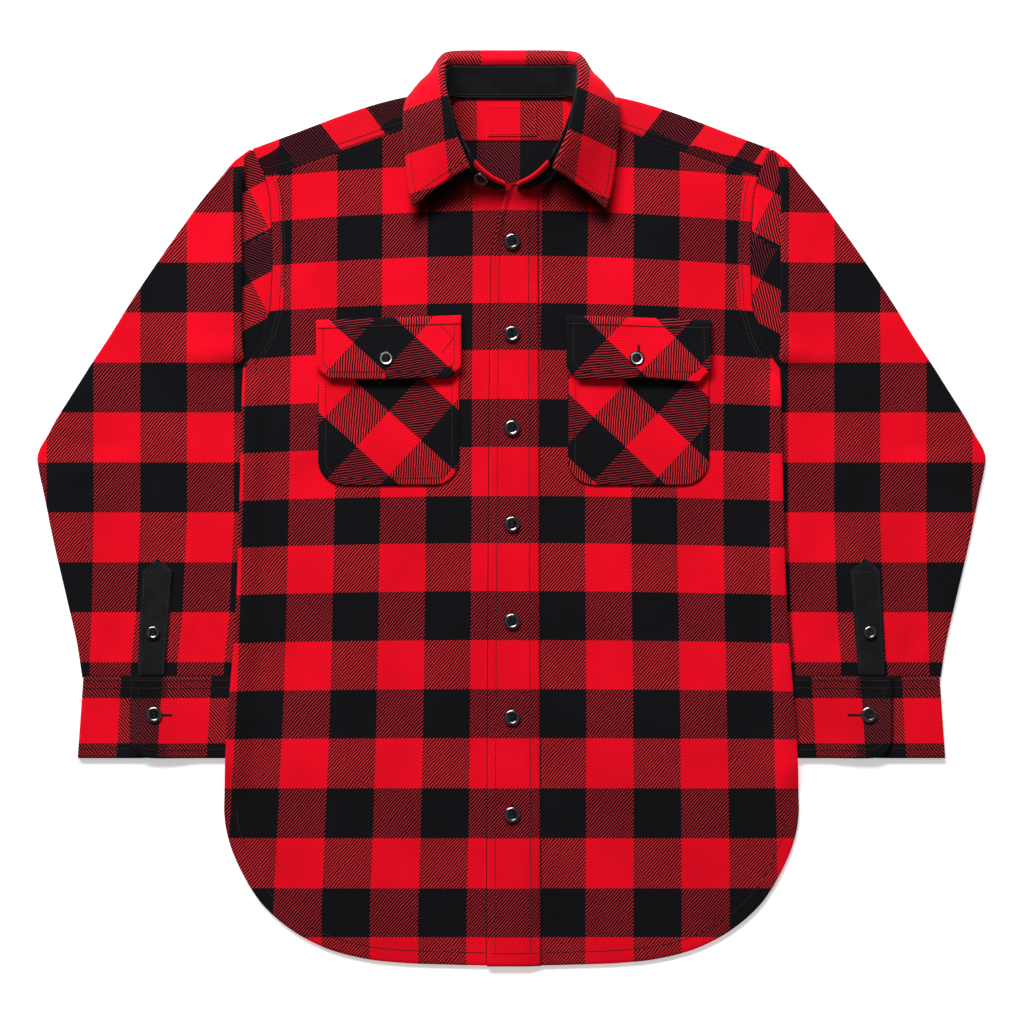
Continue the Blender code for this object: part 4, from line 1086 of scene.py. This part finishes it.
def makeCollar():
    leafGrid = 2 * collar["leafEnd"] * collar["steps"], collar["leafSteps"]
    standGrid = 2 * collar["standEnd"] * collar["standPerStation"], collar["standSteps"]
    makeCloth("collar_leaf", leafGrid, placeLeaf, risingFlannel, body["double"], "collar", "collar_cloth")
    stand = makeCloth("stand_band", standGrid, placeStand, risingFlannel, body["double"], "collar_stand",
                      "trim_cloth")
    stand.data.materials.append(blackCotton)
    stand.modifiers["cloth"].material_offset = 1
    print("collar ready")


makeCollar()


# Buttons
buttonShape = dict(steps=40, holeRadius=0.95, holeReach=1.55, wholeSize=15, drillSides=14, sharp=38, threadAt=0.70)
buttonProfile = (      # radius share, height share
    (0.0, 0.0), (0.70, 0.0), (0.90, 0.14), (0.985, 0.34), (1.0, 0.54), (0.985, 0.70), (0.955, 0.79),
    (0.80, 0.985), (0.775, 1.0), (0.745, 0.985), (0.61, 0.80), (0.57, 0.75), (0.45, 0.71), (0.0, 0.70))
buttons = (      # piece, node, diameter, height, turn of its holes in degrees
    [("front_button_%d" % n, "button_front_%d" % n, 15.0, 3.0, 11 * n) for n in range(1, 8)]
    + [("stand_button", "button_stand", 15.0, 3.0, 20),
       ("right_pocket_button", "button_pocket_right", 14.2, 2.8, 5),
       ("left_pocket_button", "button_pocket_left", 14.2, 2.8, 40),
       ("right_cuff_button", "button_cuff_right", 15.0, 3.0, 15),
       ("left_cuff_button", "button_cuff_left", 15.0, 3.0, 60),
       ("right_gauntlet_button", "button_gauntlet_right", 12.2, 2.6, 33),
       ("left_gauntlet_button", "button_gauntlet_left", 12.2, 2.6, 75)])
standButtonShift = (4.6, -3.2)
resin = dict(colour=(0.003, 0.003, 0.0035, 1), cloudy=(0.008, 0.008, 0.009, 1), roughness=(0.07, 0.13))
rimLook = dict(
    worn=(0.02, 0.02, 0.022, 1), lowest=0.74, inner=0.60,      # where the polished rim lies on a button
    dark=dict(colour=(0.17, 0.17, 0.18, 1), roughness=0.20, metal=1.0, outer=0.97),
    # the pocket buttons' rim: lighter in colour than the resin, a painted highlight ring, besides its real metallic
    # reflection
    pale=dict(colour=(0.62, 0.62, 0.64, 1), roughness=0.34, metal=0.8, outer=0.76))


def makeResin(name):      # dark glossy resin with fine turning marks
    nodes = Nodes(name)
    place = nodes.place()
    cloud = nodes.noise(place, 260.0, 3.0)
    share = nodes.spread(cloud, 0.35, 0.65, 0, 1, "SMOOTHSTEP")
    nodes.bump(nodes.noise(place, 1500.0, 2.0), 0.12, 0.1 * mm)
    return nodes.finish({"Base Color": nodes.blend(share, resin["colour"], resin["cloudy"]),
                         "Roughness": nodes.spread(cloud, 0.3, 0.7, *resin["roughness"]),
                         "Specular IOR Level": 0.42})


def makeRim(name, look):      # the polished rim of a button; the pale kind is also lighter in colour, as a painted highlight
    nodes = Nodes(name)
    cloud = nodes.spread(nodes.noise(nodes.place(), 420.0, 3.0), 0.3, 0.7, 0.75, 1)
    return nodes.finish({"Base Color": nodes.blend(cloud, rimLook["worn"], look["colour"]),
                         "Metallic": look["metal"], "Roughness": look["roughness"]})


def turnedButton(diameter, height):      # a mesh with four real holes, lying on the origin
    turned = bmesh.new()
    points = [turned.verts.new((diameter / 2 * r * mm, 0, height * z * mm)) for r, z in buttonProfile]
    edges = [turned.edges.new(pair) for pair in zip(points, points[1:])]
    bmesh.ops.spin(turned, geom=points + edges, axis=(0, 0, 1), cent=(0, 0, 0), angle=math.tau,
                   steps=buttonShape["steps"], use_merge=True)
    bmesh.ops.remove_doubles(turned, verts=turned.verts, dist=0.005 * mm)
    bmesh.ops.recalc_face_normals(turned, faces=turned.faces)
    drills = bmesh.new()
    size = diameter / buttonShape["wholeSize"] * mm
    reach, radius = buttonShape["holeReach"] * size, buttonShape["holeRadius"] * size
    for dx, dy in ((1, 1), (1, -1), (-1, 1), (-1, -1)):
        made = bmesh.ops.create_cone(drills, cap_ends=True, segments=buttonShape["drillSides"],
                                     depth=height * 3 * mm, radius1=radius, radius2=radius)
        bmesh.ops.translate(drills, verts=made["verts"], vec=(dx * reach, dy * reach, 0))
    blank, drill = addObject("blank", toMesh("turned button", turned)), addObject("drill", toMesh("drills", drills))
    cut = blank.modifiers.new("holes", "BOOLEAN")
    cut.operation, cut.object, cut.solver = "DIFFERENCE", drill, "EXACT"
    bpy.context.view_layer.update()
    bored = bpy.data.meshes.new_from_object(blank.evaluated_get(bpy.context.evaluated_depsgraph_get()))
    for thing in (blank, drill):
        bpy.data.objects.remove(thing, do_unlink=True)
    return bored


def buttonSeat(node):      # the middle of the base and the way it faces, from the solid's flat underside
    sameWay = {}
    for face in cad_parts[node].data.polygons:
        sameWay.setdefault(tuple(round(value, 2) for value in face.normal), []).append(face)
    base = max(sameWay.values(), key=lambda faces: sum(face.area for face in faces))
    total = sum(face.area for face in base)
    under, middle = Vector((0, 0, 0)), Vector((0, 0, 0))
    for face in base:
        under += face.normal * face.area
        middle += face.center * face.area / total
    return middle, -under.normalized()


def seated(shape, turn, way, seat):      # turns a shape on its own axis and sets it in its place
    spin = Matrix.Rotation(math.radians(turn), 3, "Z")
    bmesh.ops.rotate(shape, verts=shape.verts, cent=(0, 0, 0), matrix=spin)
    bmesh.ops.transform(shape, matrix=way, verts=shape.verts)
    bmesh.ops.translate(shape, verts=shape.verts, vec=seat)


def polishRim(shape, diameter, height, outer):      # the two slopes and the crest between them
    for face in shape.faces:
        middle = face.calc_center_median()
        out = math.hypot(middle.x, middle.y) / (diameter / 2 * mm)
        high = face.normal.z > 0.4 and middle.z > height * rimLook["lowest"] * mm
        face.material_index = 1 if high and rimLook["inner"] < out < outer else 0


def makeButtons():
    dark = makeResin("dark glossy resin")
    rims = {kind: makeRim("polished %s rim" % kind, rimLook[kind]) for kind in ("dark", "pale")}
    shapes = {}
    for name, node, diameter, height, turn in buttons:
        if diameter not in shapes:
            shapes[diameter] = turnedButton(diameter, height)
        seat, up = buttonSeat(node)
        if name == "stand_button":
            x, y, z = drawnIn(*(seat / mm))
            seat = Vector((x + standButtonShift[0], y + standButtonShift[1], z)) * mm
        way = up.to_track_quat("Z", "Y").to_matrix().to_4x4()
        # pocket buttons take the pale rim, a painted highlight
        kind = "pale" if "pocket" in name else "dark"
        mesh = shapes[diameter].copy()
        mesh.name = name
        mesh.materials.clear()
        for material in (dark, rims[kind]):
            mesh.materials.append(material)
        shaped = bmesh.new()
        shaped.from_mesh(mesh)
        polishRim(shaped, diameter, height, rimLook[kind]["outer"])
        seated(shaped, turn, way, seat)
        shaped.to_mesh(mesh)
        shaped.free()
        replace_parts(addPiece(name, mesh, "button"), node)
        mesh.set_sharp_from_angle(angle=math.radians(buttonShape["sharp"]))
        makeButtonThread(name + "_thread", diameter, height, turn, way, seat)
    print("buttons ready")


def makeButtonThread(name, diameter, height, turn, way, seat):      # two strands between the holes
    strands = bmesh.new()
    reach = buttonShape["holeReach"] * diameter / buttonShape["wholeSize"] * mm
    for shift in (-1, 1):
        for nudge in (-0.22, 0.22):
            place = Matrix.Translation((0, shift * reach + nudge * mm, height * buttonShape["threadAt"] * mm))
            shape = Matrix.Diagonal((reach * 1.25, 0.26 * mm, 0.30 * mm, 1))
            bmesh.ops.create_icosphere(strands, subdivisions=2, radius=1, matrix=place @ shape)
    seated(strands, turn, way, seat)
    addPiece(name, toMesh(name, strands), "button", blackThread)


makeButtons()


# Stitching
buttonHoles = dict(      # middles of the buttonholes
    front=(250.5, 164.0, 75.7, -14.6, -105.8, -196.0, -287.2), frontX=0.9, flapRise=3.6,
    flap={-1: (-115.6, 140.6), 1: (119.3, 139.9)}, cuff={-1: (-328.3, -193.8), 1: (325.2, -193.8)},
    length=18.5, cuffLength=19.0, lip=0.75, lipHalf=0.55, lipPitch=0.8, pitch=1.05)
# seamPitch and seamWidth shape the dark seam lines, which are partly painted shadow; the widest one is the painted
# shadow at the cuff's lap edge
stitch = dict(pitch=2.6, length=2.95, radius=0.44, flat=0.75, rise=0.12, inset=6.6, seamPitch=1.9, seamWidth=1.15,
              cuffLapShadowWidth=2.6, flapPitch=2.4, flapWidth=1.5)


def facing(place, a, b, lift):      # a point on the upper side of a sheet, and the way it faces
    at, beside, above = (Vector(place(*pair)[0]) for pair in ((a, b), (a + 0.002, b), (a, b + 0.002)))
    normal = (beside - at).cross(above - at).normalized()
    if normal.z < 0:
        normal = -normal
    return at + normal * lift, normal


def over(height, points, side=1):      # points in plan, laid on a height function
    return [(Vector((side * x, y, height(x, y))), upward) for x, y in points]


def evenRun(run, pitch):      # places one pitch apart along a run of points
    found, left = [], pitch / 2
    for (first, up), (second, upNext) in zip(run, run[1:]):
        length = (second - first).length
        if length < 0.0001:
            continue
        while left < length:
            share = left / length
            found.append((first.lerp(second, share), (second - first) / length, up.lerp(upNext, share)))
            left += pitch
        left -= length
    return found


def makeStitching(name, runs, slotName, thread=redThread, pitch=stitch["pitch"], heavy=1.0):
    stitches = bmesh.new()
    half, radius = pitch * stitch["length"] / stitch["pitch"] / 2, stitch["radius"] * heavy
    for run in runs:
        for count, (place, along, up) in enumerate(evenRun(run, pitch)):
            across = up.cross(along).normalized()
            up = along.cross(across)
            turn = 0.12 * math.sin(count * 2.4)      # no two stitches lie quite alike
            axes = (along + across * turn) * half, across * radius, up * radius * stitch["flat"]
            shape = Matrix([axis * mm for axis in axes]).transposed().to_4x4()
            shape.translation = (place + up * stitch["rise"]) * mm
            bmesh.ops.create_icosphere(stitches, subdivisions=1, radius=1, matrix=shape)
    addPiece(name, toMesh(name, stitches), slotName, thread)


def makeSeamAndShadowLine(name, runs, slotName, width=stitch["seamWidth"]):      # the dark line where two sheets are joined, partly the seam's thread and partly painted shadow beside the edge
    makeStitching(name, runs, slotName, seamAndShadowThread, stitch["seamPitch"], width)


def frontTop(x, y):
    return frontZ(x, y) + body["cloth"] / 2


def placketTop(x, y):
    return frontZ(x, y) + placketHeight(x) + body["placket"] / 2


def evenly(low, high, count):
    return [mix(low, high, index / count) for index in range(count + 1)]


def offsetLine(points, inset):      # a line in plan moved to its left
    moved = []
    for index, (x, y) in enumerate(points):
        before, after = points[max(index - 1, 0)], points[min(index + 1, len(points) - 1)]
        dx, dy = after[0] - before[0], after[1] - before[1]
        length = math.hypot(dx, dy)
        moved.append((x - dy / length * inset, y + dx / length * inset))
    return moved


bodyStitch = dict(hem=12.2, placket=((0, 7.6, 262), (1, -9.6, 282)), armhole=(8.4, 12.0), yoke=(1.5, 7.0),
                  placketHalf=(-19, 24), labelEdge=0.045, labelEnd=0.08)


def stitchBody():
    runs = []
    for edge, inset, top in bodyStitch["placket"]:
        runs.append(over(placketTop, [(placketEdges(y)[edge] + inset, y) for y in evenly(-416, top, 140)]))
    hem = [(w, hemLine(w)) for w in evenly(0, 246, 60)] + [(tailLine(y), y) for y in evenly(-352, -285, 16)]
    line = offsetLine(hem, bodyStitch["hem"])
    for side in (-1, 1):
        signed = [(side * x, y) for x, y in line]
        runs.append(over(frontTop, [(x, y) for x, y in signed      # clear of the placket
                                    if not placketEdges(y)[0] - 1 <= x <= placketEdges(y)[1] + 1]))
        for inset in bodyStitch["armhole"]:
            runs.append(over(frontTop, [(side * (armhole(y) - inset), y) for y in evenly(128, 309, 60)]))
    runs.append(over(placketTop, [(x, hemLine(abs(x)) + bodyStitch["hem"])
                                  for x in evenly(*bodyStitch["placketHalf"], 10)]))
    makeStitching("body_stitches", runs, "body_cloth")
    # Dark lines along the placket's edges, round the armholes and along the yoke seams: painted shadow at the base of
    # each edge, laid as a thread along the joint
    runs = [over(frontTop, [(placketEdges(y)[0] - 0.5, y) for y in evenly(-428, 290, 150)]),
            over(placketTop, [(placketEdges(y)[1] - 0.1, y) for y in evenly(-428, 290, 150)])]
    for side in (-1, 1):
        runs.append(over(frontTop, [(side * armhole(y), y) for y in evenly(133, 312, 60)]))
        runs.append(over(frontTop, [(side * w, yokeSeam(w) - 0.2) for w in evenly(58, 231, 60)]))
    makeSeamAndShadowLine("body_seam_and_shadow_lines", runs, "body_cloth")


def stitchYoke():
    runs = []
    strip = yokeShape["frontRows"] / yokeShape["rows"]
    for side in (-1, 1):
        for inset in bodyStitch["yoke"]:
            run = []
            for outer in evenly(0.27, 0.985, 60):
                a = (side * outer + 1) / 2
                low, high = placeYoke(a, 0.0)[0][1], placeYoke(a, strip)[0][1]
                run.append(facing(placeYoke, a, inset / (high - low) * strip, body["cloth"] / 2))
            runs.append(run)
    makeStitching("yoke_stitches", runs, "body_cloth")
    low, end = bodyStitch["labelEdge"], bodyStitch["labelEnd"]
    corners = [(low, end), (1 - low, end), (1 - low, 1 - end), (low, 1 - end), (low, end)]
    run = []
    for (a1, b1), (a2, b2) in zip(corners, corners[1:]):
        run += [facing(placeLabel, mix(a1, a2, share), mix(b1, b2, share), 0.3) for share in evenly(0, 1, 8)]
    makeStitching("label_stitches", [run], "label_cloth", labelThread)


def inward(place, a, b, reach, axis):      # the shares at which the sheet's edge is a reach away
    total, last = 0.0, Vector(place(a, b)[0])
    while total < reach:
        a, b = a - 0.004 * axis[0], b - 0.004 * axis[1]
        spot = Vector(place(a, b)[0])
        total += (spot - last).length
        last = spot
    return a, b


def stitchCollar():
    runs = []
    for side in (-1, 1):
        outer = [inward(placeLeaf, (side * station / collar["leafEnd"] + 1) / 2, 1.0, stitch["inset"], (0, 1))
                 for station in evenly(3.2, collar["leafEnd"], 44)]
        front = [inward(placeLeaf, (side + 1) / 2, b, stitch["inset"], (side, 0)) for b in evenly(0.97, 0.16, 24)]
        limit = front[1][0]      # the two lines meet at the point
        outer = [pair for pair in outer if (pair[0] - limit) * side < 0]
        front = [pair for pair in front if pair[1] < outer[-1][1]]
        runs.append([facing(placeLeaf, a, b, body["double"] / 2) for a, b in outer + front])
    makeStitching("collar_stitches", runs, "collar_cloth")
    runs = []
    for share in (0.06, 0.13, 0.94):
        run = []
        for station in evenly(-7.2, 7.2, 120):
            spot, normal = facing(placeStand, (station / collar["standEnd"] + 1) / 2, share, 0)
            if normal.x * spot.x + normal.y * (spot.y - 370) > 0 and abs(normal.z) < 0.75:
                normal = -normal      # on the side of the neck
            run.append((spot + normal * body["double"] / 2, normal))
        runs.append(run)
    makeStitching("stand_stitches", runs, "trim_cloth", blackThread)


def pocketTop(x, y):
    return pocketZ(x, y) + pocketSwell(x, y) + body["cloth"] / 2 + 0.05


def flapTop(x, y):
    return flapZ(x, y) + body["double"] / 2 + 0.05


def pocketOutline(side, inset, out, low, count):      # down one edge, along the bottom and up the other
    half, corner, bottom = pocket["half"] - inset, pocket["corner"] - inset, pocket["bottom"] + inset
    right = [(cornered(half, corner, bottom, y) + out, y) for y in evenly(118, bottom + low, count)]
    line = [(-x, y) for x, y in right] + [(x, y) for x, y in reversed(right)]
    return [(side * pocket["x"][side] + x, y) for x, y in line]


flapStitch = dict(top=7.4, corner=2.6)


def stitchPockets():
    inset = stitch["inset"]
    for side, label in sides:
        makeStitching(label + "_pocket_stitches", [over(pocketTop, pocketOutline(side, inset, 0, 0, 70))],
                      "pocket_cloth")
        # a dark line just outside the pocket's edge: painted shadow where the pocket meets the front, partly its seam
        makeSeamAndShadowLine(label + "_pocket_edge_shadow", [over(frontTop, pocketOutline(side, 0, 0.4, -0.3, 80))], "pocket_cloth")

        def onFlap(points):
            placed = []
            for (x1, y1), (x2, y2) in zip(points, points[1:]):
                for share in evenly(0, 1, 12):
                    x, y = mix(x1, x2, share), mix(y1, y2, share)
                    lift = -flap["tilt"] * side * x * ramp(y, flap["bottom"], flap["top"])
                    placed.append((side * pocket["x"][side] + x, y + lift))
            return over(flapTop, placed)
        wide, low, top = flap["half"] - inset, flap["bottom"] + inset, flap["top"] - flapStitch["top"]
        cut = flap["corner"] - flapStitch["corner"]
        runs = [onFlap([(-wide, top), (-wide, low + cut), (cut - wide, low), (wide - cut, low), (wide, low + cut),
                        (wide, top)])]
        if side < 0:      # a short bent line at the inner end
            runs.append(onFlap([(wide - 12, top - 1), (wide - 1, 158), (wide - 12, 145)]))
        makeStitching(label + "_flap_stitches", runs, "pocket_cloth")
        heavy = onFlap([(1 - flap["half"], top), (flap["half"] - 1, top)])
        makeStitching(label + "_flap_seam", [heavy], "pocket_cloth", redThread, stitch["flapPitch"],
                      stitch["flapWidth"])


def cuffTop(w, y):
    if w > cuff["lapEnd"]:
        return body["double"] + cuff["layer"] + 0.05
    path = cuffPath(y)[:cuff["lapPoints"]]
    if w < path[-1][0]:
        return path[-1][1] + body["double"] / 2
    lift = lapLift((cuff["lapEnd"] - w) / cuff["lapStep"])
    return heightOn(path[::-1], w) + lift + body["double"] / 2 + 0.1


def gauntletTop(w, y):
    return sleeveTop(w, y) + gauntlet["rise"] + body["cloth"] / 2 + body["lap"] + 0.1


cuffStitch = dict(top=(-161.4, -168.6), inset=7, bottomInset=8, above=0.9, edgeSeat=0.1)
gauntletStitch = dict(inset=2.2, tip=(332.2, -50.6), across=-59.8)


def stitchCuff(side, label):
    lap, bottom = cuff["lapEnd"], cuff["bottom"] + cuffStitch["bottomInset"]
    lines = []
    for y in cuffStitch["top"]:
        lines.append([(w, y) for w in evenly(cuffInner(y) + 2, lap - 1, 40)])
        lines.append([(w, y) for w in evenly(lap + 1, cuffOuter(y) - 2, 20)])
    corner = cuff["corner"] - cuffStitch["inset"]
    end = [(cornered(lap - cuffStitch["inset"], corner, bottom, y), y) for y in evenly(-170, bottom, 40)]
    lines.append(end + [(w, bottom) for w in evenly(end[-1][0] - 1, cuffInner(bottom) + 2, 30)])
    lines.append([(w, bottom + 1) for w in evenly(lap + 1, cuffOuter(bottom) - 2, 20)])
    makeStitching(label + "_cuff_stitches", [over(cuffTop, line, side) for line in lines], "cuff_cloth")

    def joinTop(w, y):
        return sleeveTop(w, y + 1) + cuffStitch["above"]

    def edgeTop(w, y):
        return body["double"] + cuff["layer"] + cuffStitch["edgeSeat"]
    top = cuff["top"]
    # the dark line where the cuff meets the sleeve: partly the seam, partly painted shadow
    joined = [(w, top + 0.4) for w in evenly(cuffInner(top) + 2, cuffOuter(top) - 2, 60)]
    makeSeamAndShadowLine(label + "_cuff_seam_and_shadow", [over(joinTop, joined, side)], "cuff_cloth")
    # a heavier dark line round the end of the lap: painted shadow beside the lap's edge
    edge = [(cornered(lap + 0.5, cuff["corner"], cuff["bottom"], y), y)
            for y in evenly(top - 1, cuff["bottom"] + 0.5, 50)]
    makeSeamAndShadowLine(label + "_cuff_lap_shadow", [over(edgeTop, edge, side)], "cuff_cloth", stitch["cuffLapShadowWidth"])


def stitchGauntlet(side, label):
    inset = gauntletStitch["inset"]
    inner = [(gauntletInner(y) + inset, y) for y in evenly(-156, -60, 40)]
    outer = [(gauntletOuter(y) - inset, y) for y in evenly(-60, -156, 40)]
    low, high = gauntletInner(-60) + inset + 0.2, gauntletOuter(-60) - inset - 0.2
    house = [(w, gauntletStitch["across"]) for w in evenly(low, high, 8)]
    runs = [over(gauntletTop, line, side) for line in (inner + [gauntletStitch["tip"]] + outer, house)]
    makeStitching(label + "_gauntlet_stitches", runs, "trim_cloth", blackThread)


def makeButtonhole(name, height, x, y, length, upright, slotName, heavy=0.95):      # two stitched lips and a slit
    look = buttonHoles

    def laid(across, along):      # a point beside the middle of the hole
        return (x + across, y + along) if upright else (x + along, y + across)
    lips = []
    for lip in (-look["lip"], look["lip"]):
        for along in evenly(-length / 2, length / 2, int(length / look["lipPitch"])):
            ends = (lip - look["lipHalf"], lip + look["lipHalf"])
            lips.append(over(height, [laid(across, along) for across in ends]))
    lips.append(over(height, [laid(0, along) for along in evenly(-length / 2, length / 2, 12)]))
    makeStitching(name, lips, slotName, seamAndShadowThread, look["pitch"], heavy)


def makeButtonholes():
    look = buttonHoles
    for number, y in enumerate(look["front"], 1):
        makeButtonhole("front_buttonhole_%d" % number, placketTop, look["frontX"], y, look["length"], True,
                       "body_cloth")
    for side, label in sides:
        x, y = look["flap"][side]
        makeButtonhole(label + "_flap_buttonhole", flapTop, x, y + look["flapRise"], look["length"], True,
                       "pocket_cloth")
        x, y = look["cuff"][side]
        makeButtonhole(label + "_cuff_buttonhole", lambda w, v: cuffTop(abs(w), v), x, y, look["cuffLength"],
                       False, "cuff_cloth", 1.5)


stitchBody()
stitchYoke()
stitchCollar()
stitchPockets()
for side, label in sides:
    stitchCuff(side, label)
    stitchGauntlet(side, label)
makeButtonholes()
print("stitching ready")
